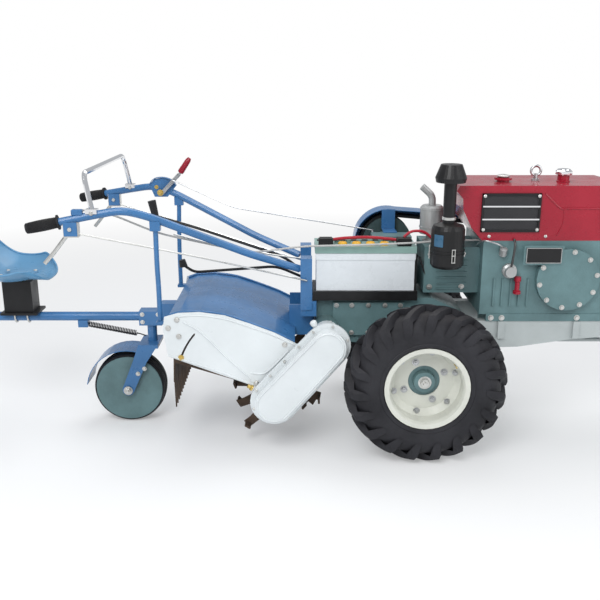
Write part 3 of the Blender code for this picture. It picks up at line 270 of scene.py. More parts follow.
def piece(name, bm, material, body, smooth=35.0):
    """Turn a bmesh into a piece that rides on a body."""
    bmesh.ops.recalc_face_normals(bm, faces=bm.faces)
    mesh = bpy.data.meshes.new(name)
    bm.to_mesh(mesh)
    bm.free()
    mesh.materials.append(M[material])
    mesh.shade_smooth()
    mesh.set_sharp_from_angle(angle=math.radians(smooth))
    item = bpy.data.objects.new(name, mesh)
    bpy.context.scene.collection.objects.link(item)
    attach(item, body)
    return item


def merge(target, source):
    made = {v: target.verts.new(v.co) for v in source.verts}
    for face in source.faces:
        target.faces.new([made[v] for v in face.verts])
    source.free()


def frame_along(direction):
    return Vector((0, 0, 1)).rotation_difference(Vector(direction)).to_matrix().to_4x4()


def turned(profile, base, direction, segments=24):
    """A solid of revolution from (radius, height) points, standing on `base` along `direction`."""
    bm = bmesh.new()
    rings = []
    for radius, height in profile:
        if radius < 1e-6:
            rings.append([bm.verts.new((0, 0, height))])
            continue
        ring = []
        for i in range(segments):
            angle = 2 * math.pi * i / segments
            ring.append(bm.verts.new((radius * math.cos(angle), radius * math.sin(angle), height)))
        rings.append(ring)
    for first, second in zip(rings, rings[1:]):
        if len(first) == 1 and len(second) == 1:
            continue
        for i in range(segments):
            j = (i + 1) % segments
            if len(first) == 1:
                bm.faces.new((first[0], second[j], second[i]))
            elif len(second) == 1:
                bm.faces.new((first[i], first[j], second[0]))
            else:
                bm.faces.new((first[i], first[j], second[j], second[i]))
    bmesh.ops.transform(bm, matrix=Matrix.Translation(Vector(base)) @ frame_along(direction), verts=bm.verts)
    return bm


def hex_bolt(base, direction, size, washer=True, tip=True):
    """A hexagon head with washer and a short thread end; `size` is the head's corner radius."""
    bm = bmesh.new()
    start = 0.0
    if washer:
        ring = [(0.0, 0.0), (size * 1.35, 0.0), (size * 1.35, size * 0.22), (0.0, size * 0.22)]
        merge(bm, turned(ring, (0, 0, 0), (0, 0, 1), 16))
        start = size * 0.22
    top = start + size * 0.75
    head = [(0.0, start), (size, start), (size, top - size * 0.12), (size * 0.86, top), (0.0, top)]
    merge(bm, turned(head, (0, 0, 0), (0, 0, 1), 6))
    if tip:
        stud = [(0.0, top), (size * 0.48, top), (size * 0.42, top + size * 0.45), (0.0, top + size * 0.45)]
        merge(bm, turned(stud, (0, 0, 0), (0, 0, 1), 10))
    bmesh.ops.transform(bm, matrix=Matrix.Translation(Vector(base)) @ frame_along(direction), verts=bm.verts)
    return bm


def screw_head(base, direction, size):
    profile = [(0.0, 0.0), (size, 0.0), (size * 0.92, size * 0.35), (size * 0.55, size * 0.55), (0.0, size * 0.6)]
    return turned(profile, base, direction, 14)


def many(name, shapes, material, body):
    bm = bmesh.new()
    for shape in shapes:
        merge(bm, shape)
    return piece(name, bm, material, body)


def sweep(points, radius, sides=10, smooth_steps=6):
    """A round bar along a smooth curve through the points."""
    path = smooth_path(points, smooth_steps)
    bm = bmesh.new()
    rings = []
    across = None
    for i, point in enumerate(path):
        ahead = (path[min(i + 1, len(path) - 1)] - path[max(i - 1, 0)]).normalized()
        if across is None:
            across = ahead.orthogonal().normalized()
        across = (across - ahead * across.dot(ahead)).normalized()
        other = ahead.cross(across)
        ring = []
        for k in range(sides):
            angle = 2 * math.pi * k / sides
            ring.append(bm.verts.new(point + (across * math.cos(angle) + other * math.sin(angle)) * radius))
        rings.append(ring)
    for first, second in zip(rings, rings[1:]):
        for k in range(sides):
            bm.faces.new((first[k], first[(k + 1) % sides], second[(k + 1) % sides], second[k]))
    bm.faces.new(rings[0])
    bm.faces.new(rings[-1])
    return bm


def smooth_path(points, steps):
    points = [Vector(p) for p in points]
    if steps <= 1 or len(points) < 3:
        return points
    path = []
    for i in range(len(points) - 1):
        p0 = points[max(i - 1, 0)]
        p1, p2 = points[i], points[i + 1]
        p3 = points[min(i + 2, len(points) - 1)]
        for k in range(steps):
            t = k / steps
            path.append(
                0.5 * ((2 * p1) + (p2 - p0) * t + (2 * p0 - 5 * p1 + 4 * p2 - p3) * t**2
                       + (3 * p1 - p0 - 3 * p2 + p3) * t**3)
            )
    path.append(points[-1])
    return path


def ribbon(line, y0, y1, thickness):
    """A bent strip that follows a line in X and Z, from y0 to y1."""
    bm = bmesh.new()
    rows = []
    for i, point in enumerate(line):
        ahead = (line[min(i + 1, len(line) - 1)] - line[max(i - 1, 0)]).normalized()
        up = Vector((-ahead.z, 0, ahead.x)) * thickness
        corners = [(point.x, y0, point.z), (point.x, y1, point.z),
                   (point.x + up.x, y1, point.z + up.z), (point.x + up.x, y0, point.z + up.z)]
        rows.append([bm.verts.new(c) for c in corners])
    for first, second in zip(rows, rows[1:]):
        for k in range(4):
            bm.faces.new((first[k], first[(k + 1) % 4], second[(k + 1) % 4], second[k]))
    bm.faces.new(rows[0])
    bm.faces.new(rows[-1])
    return bm


def slab(x0, x1, y0, y1, z0, z1, bevel=0.0015):
    bm = bmesh.new()
    bmesh.ops.create_cube(bm, size=1.0)
    bmesh.ops.scale(bm, verts=bm.verts, vec=(x1 - x0, y1 - y0, z1 - z0))
    bmesh.ops.translate(bm, verts=bm.verts, vec=((x0 + x1) / 2, (y0 + y1) / 2, (z0 + z1) / 2))
    if bevel:
        bmesh.ops.bevel(bm, geom=bm.edges[:], offset=bevel, segments=2, affect="EDGES")
    return bm


# Tyres ----------------------------------------------------------------------------------------

LUGS = 19
LUG_HEIGHT = 0.026
CROWN_DROP = 0.028


def carcass_half(radius):
    """Half width of the tyre's body at a radius."""
    crown = TYRE_R - LUG_HEIGHT
    t = max(0.0, min(1.0, (radius - 0.165) / (crown - 0.165)))
    return 0.058 + (TYRE_HALF - 0.010 - 0.058) * math.sin(math.pi * min(1.0, t * 1.15) ** 0.9 / 1.6) ** 0.8


def make_main_tyre(side_name, side):
    """A farm tyre: rounded body, bead ring, and steep chevron lugs that run down onto the shoulders."""
    crown = TYRE_R - LUG_HEIGHT
    half = TYRE_HALF
    profile = [
        (0.151, 0.048), (0.1695, 0.057), (0.173, 0.066), (0.186, half - 0.012), (0.190, half - 0.014),
        (0.215, half - 0.004), (0.236, half - 0.005), (0.258, half - 0.014), (0.276, half - 0.027),
        (0.288, half - 0.042), (crown, half - 0.060), (crown + 0.001, 0.0),
    ]
    profile = profile + [(r, -a) for r, a in reversed(profile[:-1])]
    bm = bmesh.new()
    segments = 120
    rings = []
    for radius, along in profile:
        ring = []
        for i in range(segments):
            angle = 2 * math.pi * i / segments
            ring.append(bm.verts.new((radius * math.cos(angle), along, radius * math.sin(angle))))
        rings.append(ring)
    for k, first in enumerate(rings):
        second = rings[(k + 1) % len(rings)]
        for i in range(segments):
            j = (i + 1) % segments
            bm.faces.new((first[i], first[j], second[j], second[i]))

    steps = 9
    for lug in range(LUGS * 2):
        hand = 1 if lug % 2 else -1
        base_angle = 2 * math.pi * lug / (LUGS * 2)
        rows = []
        for k in range(steps + 1):
            t = k / steps
            across = hand * (-0.006 + (half - 0.002) * min(1.0, t * 1.20))
            sweep_angle = 0.30 * t
            if t < 0.84:
                outer = TYRE_R - CROWN_DROP * (across / half) ** 2
                inner = crown - 0.012
                wide = 0.058 + 0.020 * t
            else:
                drop = (t - 0.84) / 0.16
                outer = TYRE_R - CROWN_DROP - 0.040 * drop
                inner = crown - 0.040 - 0.030 * drop
                across = hand * (half - 0.002 - 0.001 * drop)
                wide = 0.078 - 0.030 * drop
            angle = base_angle + sweep_angle * (1.0 if t < 0.84 else 1.0)
            rows.append((across, angle, wide, outer, inner, t))
        grid = []
        for across, angle, wide, outer, inner, t in rows:
            top = wide * 0.62
            spots = [(angle - wide, inner), (angle - top, outer), (angle + top, outer), (angle + wide, inner)]
            grid.append([bm.verts.new((r * math.cos(a), across, r * math.sin(a))) for a, r in spots])
        for first, second in zip(grid, grid[1:]):
            for k in range(3):
                bm.faces.new((first[k], first[k + 1], second[k + 1], second[k]))
        bm.faces.new(grid[0])
        bm.faces.new(grid[-1])
    centre = middle(f"{side_name}_tyre")
    if side > 0:
        bmesh.ops.scale(bm, verts=bm.verts, vec=(1, -1, 1))
    bmesh.ops.translate(bm, verts=bm.verts, vec=centre)
    tyre = piece(f"{side_name}_lugged_tyre", bm, "tyre", f"{side_name}_wheel", 30)
    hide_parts(f"{side_name}_tyre")


def make_wheel_fittings(side_name, side):
    body = f"{side_name}_wheel"
    out = Vector((0, side, 0))
    disc_y = AXLE.y * side - side * 0.035 + side * 0.006
    bolts = []
    for i in range(6):
        a = math.radians(18 + i * 60)
        spot = (AX + 0.1285 * math.cos(a), disc_y + side * 0.011, TYRE_R + 0.1285 * math.sin(a))
        bolts.append(hex_bolt(spot, out, 0.010))
    for i in range(4):
        a = math.radians(-65 + i * 90)
        spot = (AX + 0.0875 * math.cos(a), disc_y, TYRE_R + 0.0875 * math.sin(a))
        bolts.append(hex_bolt(spot, out, 0.011))
    many(f"{side_name}_wheel_bolts", bolts, "steel", body)
    a = math.radians(35)
    valve_at = Vector((AX + 0.142 * math.cos(a), disc_y + side * 0.026, TYRE_R + 0.142 * math.sin(a)))
    valve = turned(
        [(0.0, 0.0), (0.006, 0.0), (0.005, 0.018), (0.0035, 0.020), (0.0035, 0.030), (0.0045, 0.031),
         (0.0045, 0.040), (0.0, 0.041)],
        valve_at, out, 12,
    )
    piece(f"{side_name}_valve", valve, "brass", body)
    end = high_of(f"{side_name}_hub").y if side > 0 else low_of(f"{side_name}_hub").y
    nut = hex_bolt((AX, end - side * 0.004, TYRE_R), out, 0.020, washer=True)
    piece(f"{side_name}_axle_nut", nut, "zinc", body)
    ribs = []
    for i in range(6):
        a = math.radians(48 + i * 60)
        rib = slab(0.046, 0.096, -0.004, 0.004, -0.026, 0.0, 0.001)
        turn = Matrix.Rotation(-a, 4, "Y") @ Matrix.Rotation(math.radians(90), 4, "X")
        bmesh.ops.transform(rib, matrix=turn, verts=rib.verts)
        base_y = disc_y - side * 0.019
        shift = base_y if side > 0 else base_y + 0.026
        bmesh.ops.translate(rib, verts=rib.verts, vec=(AX, shift - (0.026 if side > 0 else 0.0), TYRE_R))
        ribs.append(rib)
    many(f"{side_name}_hub_ribs", ribs, "grey_green", body)


for side_name, side in SIDES:
    make_main_tyre(side_name, side)
    make_wheel_fittings(side_name, side)


def make_tail_tyre():
    centre = middle("tail_tyre")
    radius = (high_of("tail_tyre").z - low_of("tail_tyre").z) / 2
    half = (high_of("tail_tyre").y - low_of("tail_tyre").y) / 2
    bm = bmesh.new()
    profile = [
        (0.1105, half - 0.012), (0.140, half - 0.010), (0.1475, half - 0.008), (0.1490, half - 0.002),
        (0.152, half - 0.001), (radius - 0.004, half - 0.008),
        (radius - 0.004, half - 0.022), (radius - 0.008, half - 0.024), (radius - 0.008, half - 0.028),
        (radius - 0.001, half - 0.030), (radius, 0.008), (radius - 0.006, 0.006), (radius - 0.006, 0.0),
    ]
    profile = profile + [(r, -a) for r, a in reversed(profile[:-1])]
    segments = 72
    rings = []
    for r, along in profile:
        rings.append([bm.verts.new((r * math.cos(2 * math.pi * i / segments), along,
                                    r * math.sin(2 * math.pi * i / segments))) for i in range(segments)])
    for k, first in enumerate(rings):
        second = rings[(k + 1) % len(rings)]
        for i in range(segments):
            j = (i + 1) % segments
            bm.faces.new((first[i], first[j], second[j], second[i]))
    bmesh.ops.translate(bm, verts=bm.verts, vec=centre)
    tyre = piece("tail_ribbed_tyre", bm, "tyre", "tail_wheel", 30)
    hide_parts("tail_tyre")
    nuts = []
    for side in (-1, 1):
        y = (high_of("tail_fork").y if side > 0 else low_of("tail_fork").y) - side * 0.004
        nuts.append(hex_bolt((centre.x, y - side * 0.006, centre.z), (0, side, 0), 0.015))
    many("tail_axle_nuts", nuts, "zinc", "tail_steering")


make_tail_tyre()


def make_tail_disc():
    """Painted disc covers on both sides of the tail wheel, out to its narrow tread."""
    centre = middle("tail_rim")
    discs = bmesh.new()
    for side in (-1, 1):
        profile = [(0.014, 0.0530), (0.030, 0.0500), (0.060, 0.0470), (0.100, 0.0468), (0.138, 0.0485), (0.1470, 0.0480),
                   (0.1475, 0.0440), (0.100, 0.0420), (0.014, 0.0420), (0.014, 0.0530)]
        merge(discs, turned(profile, centre, (0, side, 0), 72))
    piece("tail_wheel_discs", discs, "grey_green", "tail_wheel")


make_tail_disc()

# Tiller fittings -------------------------------------------------------------------------------

DRIVE = Vector((AX - 0.388, 0, 0.470))
ROTOR = middle("tiller_rotor")
ROTOR.x = AX - 0.604
ROTOR.z = 0.228


def capsule_points(extra, count, r_top=0.092, r_low=0.098):
    """Points spaced along the chain case's outline, `extra` inside it."""
    heading = math.atan2(ROTOR.z - DRIVE.z, ROTOR.x - DRIVE.x)
    dense = []
    for i in range(41):
        a = heading - math.pi / 2 - math.pi + math.pi * i / 40 + math.pi
        a = heading + math.pi / 2 + math.pi * i / 40
        dense.append(Vector((DRIVE.x + (r_top - extra) * math.cos(a), 0, DRIVE.z + (r_top - extra) * math.sin(a))))
    for i in range(41):
        a = heading - math.pi / 2 + math.pi * i / 40
        dense.append(Vector((ROTOR.x + (r_low - extra) * math.cos(a), 0, ROTOR.z + (r_low - extra) * math.sin(a))))
    dense.append(dense[0])
    lengths = [0.0]
    for a, b in zip(dense, dense[1:]):
        lengths.append(lengths[-1] + (b - a).length)
    points = []
    for k in range(count):
        want = lengths[-1] * k / count
        i = max(j for j in range(len(lengths) - 1) if lengths[j] <= want)
        t = (want - lengths[i]) / max(1e-9, lengths[i + 1] - lengths[i])
        points.append(dense[i].lerp(dense[i + 1], t))
    return points


def make_chain_case_fittings():
    flange_y = low_of("chain_case").y + 0.040
    bolts = [hex_bolt((p.x, flange_y, p.z), (0, -1, 0), 0.0062, washer=False, tip=False)
             for p in capsule_points(0.010, 14)]
    many("chain_case_bolts", bolts, "zinc", "chassis")
    face = low_of("chain_case").y
    rim = capsule_points(0.030, 60)
    bead = sweep([(p.x, face, p.z) for p in rim] + [(rim[0].x, face, rim[0].z)], 0.0045, 8, 1)
    piece("chain_case_bead", bead, "white", "chassis")
    plug = turned([(0.0, 0.0), (0.012, 0.0), (0.012, 0.008), (0.008, 0.010), (0.008, 0.022), (0.0, 0.024)],
                  (ROTOR.x - 0.088, flange_y + 0.006, ROTOR.z + 0.058), (-0.75, -0.1, 0.45), 16)
    piece("chain_case_plug", plug, "brass", "chassis")
    cap = turned([(0.0, 0.0), (0.009, 0.0), (0.014, 0.010), (0.014, 0.020), (0.008, 0.026), (0.0, 0.027)],
                 (DRIVE.x - 0.050, flange_y + 0.012, DRIVE.z + 0.078), (-0.5, 0, 0.85), 18)
    piece("chain_case_breather", cap, "white", "chassis")


def make_side_fittings(side_name, side):
    y = (high_of(f"{side_name}_tiller_side").y if side > 0 else low_of(f"{side_name}_tiller_side").y)
    spots = [(-0.990, 0.570), (-1.026, 0.535), (-0.985, 0.500), (-0.560, 0.465), (-0.677, 0.300)]
    bolts = [hex_bolt((AX + x, y, z), (0, side, 0), 0.0085, tip=False) for x, z in spots]
    many(f"{side_name}_side_bolts", bolts, "zinc", "chassis")
    pivot = Vector((AX - 0.677, 0, 0.300))
    ring = math.radians(160)
    eye_at = Vector((pivot.x + 0.322 * math.cos(ring), y, pivot.z + 0.322 * math.sin(ring)))
    knob = turned([(0.0, 0.0), (0.012, 0.0), (0.012, 0.003), (0.006, 0.004), (0.006, 0.012), (0.0, 0.013)],
                  eye_at, (0, side, 0), 18)
    piece(f"{side_name}_slot_bolt", knob, "brass", "rear_guard")
    fold = [(-0.500, 0.455), (-0.600, 0.503), (-0.700, 0.541), (-0.800, 0.574), (-0.900, 0.588), (-0.980, 0.584)]
    bead = sweep([(AX + x, y, z) for x, z in fold], 0.004, 8, 5)
    merge(bead, sweep([(AX - 0.965, y, 0.560), (AX - 0.900, y, 0.520), (AX - 0.800, y, 0.415), (AX - 0.700, y, 0.318)], 0.004, 8, 5))
    merge(bead, sweep([(AX - 0.545, y, 0.440), (AX - 0.620, y, 0.360), (AX - 0.655, y, 0.340), (AX - 0.700, y, 0.345)], 0.004, 8, 5))
    merge(bead, sweep([(AX - 1.028, y, 0.420), (AX - 0.850, y, 0.357), (AX - 0.690, y, 0.292)], 0.0045, 8, 3))
    piece(f"{side_name}_side_ribs", bead, "white", "chassis")


make_chain_case_fittings()
for side_name, side in SIDES:
    make_side_fittings(side_name, side)


def make_hood_rib():
    """Blue edging along both sides of the tiller hood's top, and two blue braces."""
    low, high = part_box("tiller_hood")
    line = [(-1.030, 0.576), (-0.985, 0.594), (-0.900, 0.598), (-0.800, 0.584), (-0.700, 0.550), (-0.600, 0.511),
            (-0.522, 0.470)]
    bm = bmesh.new()
    for y in (low[1] + 0.012, high[1] - 0.012):
        merge(bm, sweep([(AX + x, y, z + 0.002) for x, z in line], 0.005, 8, 5))
    piece("tiller_hood_ribs", bm, "blue", "chassis")
    brace = slab(AX - 0.545, AX - 0.440, -0.100, -0.088, 0.430, 0.565)
    merge(brace, slab(AX - 0.545, AX - 0.440, 0.088, 0.100, 0.430, 0.565))
    piece("tiller_braces", brace, "blue", "chassis")


make_hood_rib()

# Engine fittings ---------------------------------------------------------------------------------

HOOD_LOW = low_of("engine_hood")
HOOD_HIGH = high_of("engine_hood")
ENGINE_LOW = low_of("engine_block")
ENGINE_HIGH = high_of("engine_block")
NEAR = HOOD_LOW.y


def make_engine_fittings():
    g_low, g_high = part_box("radiator_grille")
    y = g_low[1]
    strips = slab(g_low[0], g_high[0], y - 0.003, y + 0.001, g_high[2] - 0.010, g_high[2], 0.001)
    merge(strips, slab(g_low[0], g_high[0], y - 0.003, y + 0.001, g_low[2], g_low[2] + 0.010, 0.001))
    merge(strips, slab(g_low[0], g_low[0] + 0.010, y - 0.003, y + 0.001, g_low[2], g_high[2], 0.001))
    merge(strips, slab(g_high[0] - 0.010, g_high[0], y - 0.003, y + 0.001, g_low[2], g_high[2], 0.001))
    piece("grille_frame", strips, "black", "chassis")
    bars = bmesh.new()
    for k in (1, 2):
        z = g_low[2] + (g_high[2] - g_low[2]) * k / 3
        merge(bars, slab(g_low[0] + 0.004, g_high[0] - 0.004, y - 0.005, y - 0.001, z - 0.003, z + 0.003, 0.001))
    piece("grille_bars", bars, "chrome", "chassis")
    screws = []
    for x in (g_low[0] + 0.010, g_high[0] - 0.010):
        for z in (g_low[2] + 0.010, g_high[2] - 0.010):
            screws.append(screw_head((x, y - 0.003, z), (0, -1, 0), 0.007))
    for x in (0.270, 0.500, 0.820):
        screws.append(screw_head((AX + x, NEAR, HOOD_LOW.z + 0.018), (0, -1, 0), 0.007))
    many("hood_screws", screws, "zinc", "chassis")
    crease = sweep([(AX + 0.486, NEAR, 1.050), (AX + 0.545, NEAR, 0.996), (AX + 0.566, NEAR, 0.990)], 0.004, 8, 4)
    merge(crease, sweep([(AX + 0.566, NEAR, 0.990), (AX + 0.866, NEAR, 0.990)], 0.004, 8, 1))
    merge(crease, sweep([(AX + 0.566, NEAR, 0.990), (AX + 0.566, NEAR, 0.930), (AX + 0.545, NEAR, 0.880)], 0.0025, 8, 4))
    piece("hood_creases", crease, "red", "chassis")

    low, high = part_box("fuel_cap")
    cap_at = ((low[0] + high[0]) / 2, (low[1] + high[1]) / 2, low[2])
    neck = turned([(0.0, 0.0), (0.028, 0.0), (0.028, 0.003), (0.0245, 0.005), (0.0245, 0.030), (0.0, 0.031)],
                  cap_at, (0, 0, 1), 32)
    neck = piece("fuel_neck", neck, "red", "chassis")
    lid = turned([(0.0, 0.029), (0.0335, 0.029), (0.0340, 0.031), (0.0340, 0.042), (0.0300, 0.046), (0.0270, 0.047),
                  (0.0260, 0.051), (0.0150, 0.053), (0.0, 0.0535)], cap_at, (0, 0, 1), 32)
    lid = piece("fuel_lid", lid, "chrome", "chassis")
    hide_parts("fuel_cap")
    radiator_cap = turned([(0.0, 0.0), (0.024, 0.0), (0.027, 0.002), (0.027, 0.006), (0.022, 0.008), (0.010, 0.0085),
                           (0.008, 0.011), (0.0, 0.0115)], (AX + 0.345, -0.040, HOOD_HIGH.z - 0.0006), (0, 0, 1), 32)
    piece("radiator_cap_lid", radiator_cap, "zinc", "chassis")

    near = ENGINE_LOW.y
    y = -0.172
    front = ENGINE_LOW.y - 0.003
    plate = slab(AX + 0.418, AX + 0.562, front - 0.003, front, 0.772, 0.836, 0.001)
    piece("blank_plate", plate, "black", "chassis")
    bracket = slab(AX + 0.408, AX + 0.572, front, front + 0.004, 0.764, 0.844, 0.001)
    merge(bracket, slab(AX + 0.425, AX + 0.450, front + 0.003, y + 0.002, 0.785, 0.825, 0.001))
    piece("plate_bracket", bracket, "engine_paint", "chassis")
    rim = bmesh.new()
    for z in (0.772, 0.833):
        merge(rim, slab(AX + 0.418, AX + 0.562, front - 0.005, front - 0.001, z, z + 0.003, 0.0005))
    for x in (0.418, 0.559):
        merge(rim, slab(AX + x, AX + x + 0.003, front - 0.005, front - 0.001, 0.772, 0.836, 0.0005))
    piece("plate_border", rim, "silver_paint", "chassis")
    bolts = []
    for i in (0, 1, 2, 4, 5, 6, 7, 8, 9):  # the plate covers the fourth
        a = math.radians(10 + i * 36)
        bolts.append(hex_bolt((AX + 0.600 + 0.118 * math.cos(a), near, 0.700 + 0.118 * math.sin(a)), (0, -1, 0),
                              0.008, tip=False))
    for x in (0.300, 0.345, 0.660, 0.880):
        bolts.append(hex_bolt((AX + x, y - 0.003, 0.530), (0, -1, 0), 0.009, tip=False))
        bolts.append(hex_bolt((AX + x, 0.175, 0.530), (0, 1, 0), 0.009, tip=False))
    for z in (0.650, 0.790):
        for x in (0.045, 0.180):
            bolts.append(hex_bolt((AX + x, -0.120, z), (0, -1, 0), 0.009))
    many("engine_bolts", bolts, "zinc", "chassis")
    fins = bmesh.new()
    for k in range(7):
        z = 0.640 + k * 0.024
        merge(fins, slab(AX + 0.075, AX + 0.200, -0.127, -0.119, z, z + 0.006, 0.001))
        merge(fins, slab(AX + 0.030, AX + 0.250, 0.119, 0.127, z, z + 0.006, 0.001))
    for k in range(5):
        x = 0.300 + k * 0.035
        merge(fins, slab(AX + x, AX + x + 0.008, y - 0.006, y + 0.001, 0.580, 0.700, 0.001))
    piece("engine_ribs", fins, "engine_paint", "chassis")
    pump = turned([(0.0, 0.0), (0.030, 0.0), (0.030, 0.020), (0.022, 0.026), (0.022, 0.045), (0.0, 0.047)],
                  (AX + 0.360, y, 0.735), (0, -1, 0), 24)
    merge(pump, turned([(0.0, 0.0), (0.016, 0.0), (0.016, 0.030), (0.010, 0.034), (0.0, 0.034)],
                       (AX + 0.330, y - 0.004, 0.800), (0, -0.4, 1), 16))
    piece("fuel_pump", pump, "silver_paint", "chassis")
    fitting = turned([(0.0, 0.0), (0.016, 0.0), (0.016, 0.012), (0.010, 0.016), (0.010, 0.050), (0.014, 0.054),
                      (0.014, 0.072), (0.0, 0.074)], (AX + 0.395, y - 0.020, 0.640), (0, 0, 1), 18)
    piece("oil_filler", fitting, "red", "chassis")
    line = sweep([(AX + 0.335, y - 0.012, 0.828), (AX + 0.300, y - 0.030, 0.850), (AX + 0.250, y - 0.020, 0.862),
                  (AX + 0.235, y + 0.030, 0.840), (AX + 0.235, -0.110, 0.825)], 0.0032, 8, 6)
    piece("injector_pipe", line, "steel", "chassis")
    hose = sweep([(AX + 0.372, NEAR - 0.006, 0.866), (AX + 0.374, NEAR - 0.020, 0.842), (AX + 0.366, y - 0.032, 0.790),
                  (AX + 0.360, y - 0.036, 0.752)], 0.005, 8, 6)
    piece("fuel_hose", hose, "cable", "chassis")

    c = middle("air_cleaner")
    low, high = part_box("air_cleaner")
    cx, cy = AX + 0.095, -0.215
    bands = bmesh.new()
    for z in (low[2] + 0.055, low[2] + 0.068):
        ring = [(0.0672, 0.0), (0.0700, 0.0005), (0.0700, 0.0055), (0.0672, 0.006)]
        merge(bands, turned(ring, (cx, cy, z), (0, 0, 1), 48))
    piece("air_cleaner_bands", bands, "black", "chassis")
    latches = bmesh.new()
    for degrees in (-80, 40, 160):
        t = math.radians(degrees)
        reach = Vector((math.cos(t), math.sin(t), 0))
        side_way = Vector((-reach.y, reach.x, 0))
        for shift in (-0.006, 0.006):
            foot = Vector((cx, cy, 0)) + reach * 0.0715 + side_way * shift
            merge(latches, sweep([(foot.x, foot.y, low[2] + 0.030), (foot.x, foot.y, low[2] + 0.086)], 0.0018, 6, 1))
        for z in (0.032, 0.060, 0.084):
            ends = [Vector((cx, cy, low[2] + z)) + reach * 0.0715 + side_way * shift for shift in (-0.008, 0.008)]
            merge(latches, sweep(ends, 0.0024, 6, 1))
    piece("air_cleaner_latches", latches, "zinc", "chassis")
    label = bmesh.new()
    rows = []
    for k in range(9):
        t = math.radians(-152 + k * 4.5)
        x, y_here = cx + 0.0676 * math.cos(t), cy + 0.0676 * math.sin(t)
        rows.append([label.verts.new((x, y_here, low[2] + z)) for z in (0.092, 0.140)])
    for first, second in zip(rows, rows[1:]):
        label.faces.new((first[0], second[0], second[1], first[1]))
    bmesh.ops.solidify(label, geom=label.faces[:], thickness=0.0006)
    # The label takes the same lighter blue, the seat's painted-sheen copy.
    piece("bare_label", label, "blue_painted_sheen", "chassis")
    band = turned([(0.0255, 0.0), (0.028, 0.001), (0.028, 0.011), (0.0255, 0.012)], (cx, cy, high[2] + 0.012), (0, 0, 1), 32)
    piece("intake_clamp", band, "zinc", "chassis")
    m_low, m_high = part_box("muffler")
    mx, my = AX + 0.062, 0.0
    seam = turned([(0.0490, 0.0), (0.0515, 0.001), (0.0515, 0.006), (0.0490, 0.007)], (mx, my, 0.882), (0, 0, 1), 48)
    merge(seam, turned([(0.0490, 0.0), (0.0510, 0.001), (0.0510, 0.004), (0.0490, 0.005)], (mx, my, 0.958), (0, 0, 1), 48))
    piece("muffler_seams", seam, "silver_paint", "chassis")


make_engine_fittings()


def make_battery_fittings():
    low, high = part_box("battery_lid")
    top = high[2] - 0.026
    caps = []
    for i in range(4):
        x = low[0] + 0.115 + i * 0.058
        caps.append(turned([(0.0, 0.0), (0.019, 0.0), (0.019, 0.008), (0.015, 0.013), (0.009, 0.0135), (0.0085, 0.011),
                            (0.0, 0.011)], (x, low[1] + 0.040, top), (0, 0, 1), 24))
    many("battery_caps", caps, "yellow", "chassis")
    covers = bmesh.new()
    for x in (low[0] + 0.045, high[0] - 0.050):
        merge(covers, slab(x - 0.030, x + 0.030, low[1] + 0.012, low[1] + 0.066, top - 0.002, top + 0.030, 0.004))
    piece("terminal_covers", covers, "rubber", "chassis")
    lead = sweep([(low[0] + 0.060, low[1] + 0.070, top + 0.014), (low[0] + 0.130, low[1] + 0.074, top + 0.022),
                  (low[0] + 0.240, low[1] + 0.076, top + 0.024), (high[0] - 0.070, low[1] + 0.072, top + 0.014)],
                 0.0065, 10, 6)
    piece("cross_lead", lead, "lead", "chassis")
    strap = slab(low[0] + 0.010, high[0] - 0.010, high[1] - 0.060, high[1] - 0.035, high[2] - 0.027, high[2] - 0.023, 0.001)
    piece("battery_strap", strap, "black", "chassis")
    lip = slab(low[0] + 0.004, high[0] - 0.004, low[1] + 0.003, low[1] + 0.007, low[2] - 0.030, low[2] - 0.001, 0.001)
    piece("battery_rib", lip, "plastic", "chassis")


make_battery_fittings()


def make_gearbox_fittings():
    bolts = []
    for x in (-0.345, -0.280, -0.210, -0.140, -0.075):
        for z in (0.452, 0.573):
            bolts.append(hex_bolt((AX + x, -0.136, z), (0, -1, 0), 0.008, tip=False))
    for side in (-1, 1):
        for i in range(6):
            a = math.radians(30 + 60 * i)
            spot = (AX + 0.079 * math.cos(a), side * 0.200, TYRE_R + 0.079 * math.sin(a))
            bolts.append(hex_bolt(spot, (0, side, 0), 0.008, tip=False))
    for i in range(5):
        a = math.radians(72 * i)
        bolts.append(hex_bolt((AX - 0.388 + 0.050 * math.cos(a), -0.200, 0.470 + 0.050 * math.sin(a)), (0, -1, 0),
                              0.006, tip=False))
    many("gearbox_bolts", bolts, "zinc", "chassis")
    ribs = bmesh.new()
    for side in (-1, 1):
        for x in (-0.050, 0.0, 0.050):
            merge(ribs, slab(AX + x - 0.004, AX + x + 0.004, *sorted((side * 0.118, side * 0.134)), 0.400, 0.560))
    merge(ribs, slab(AX - 0.400, AX + 0.050, 0.118, 0.126, 0.470, 0.478))
    piece("gearbox_ribs", ribs, "grey_green", "chassis")


make_gearbox_fittings()

# Handles and controls -----------------------------------------------------------------------------


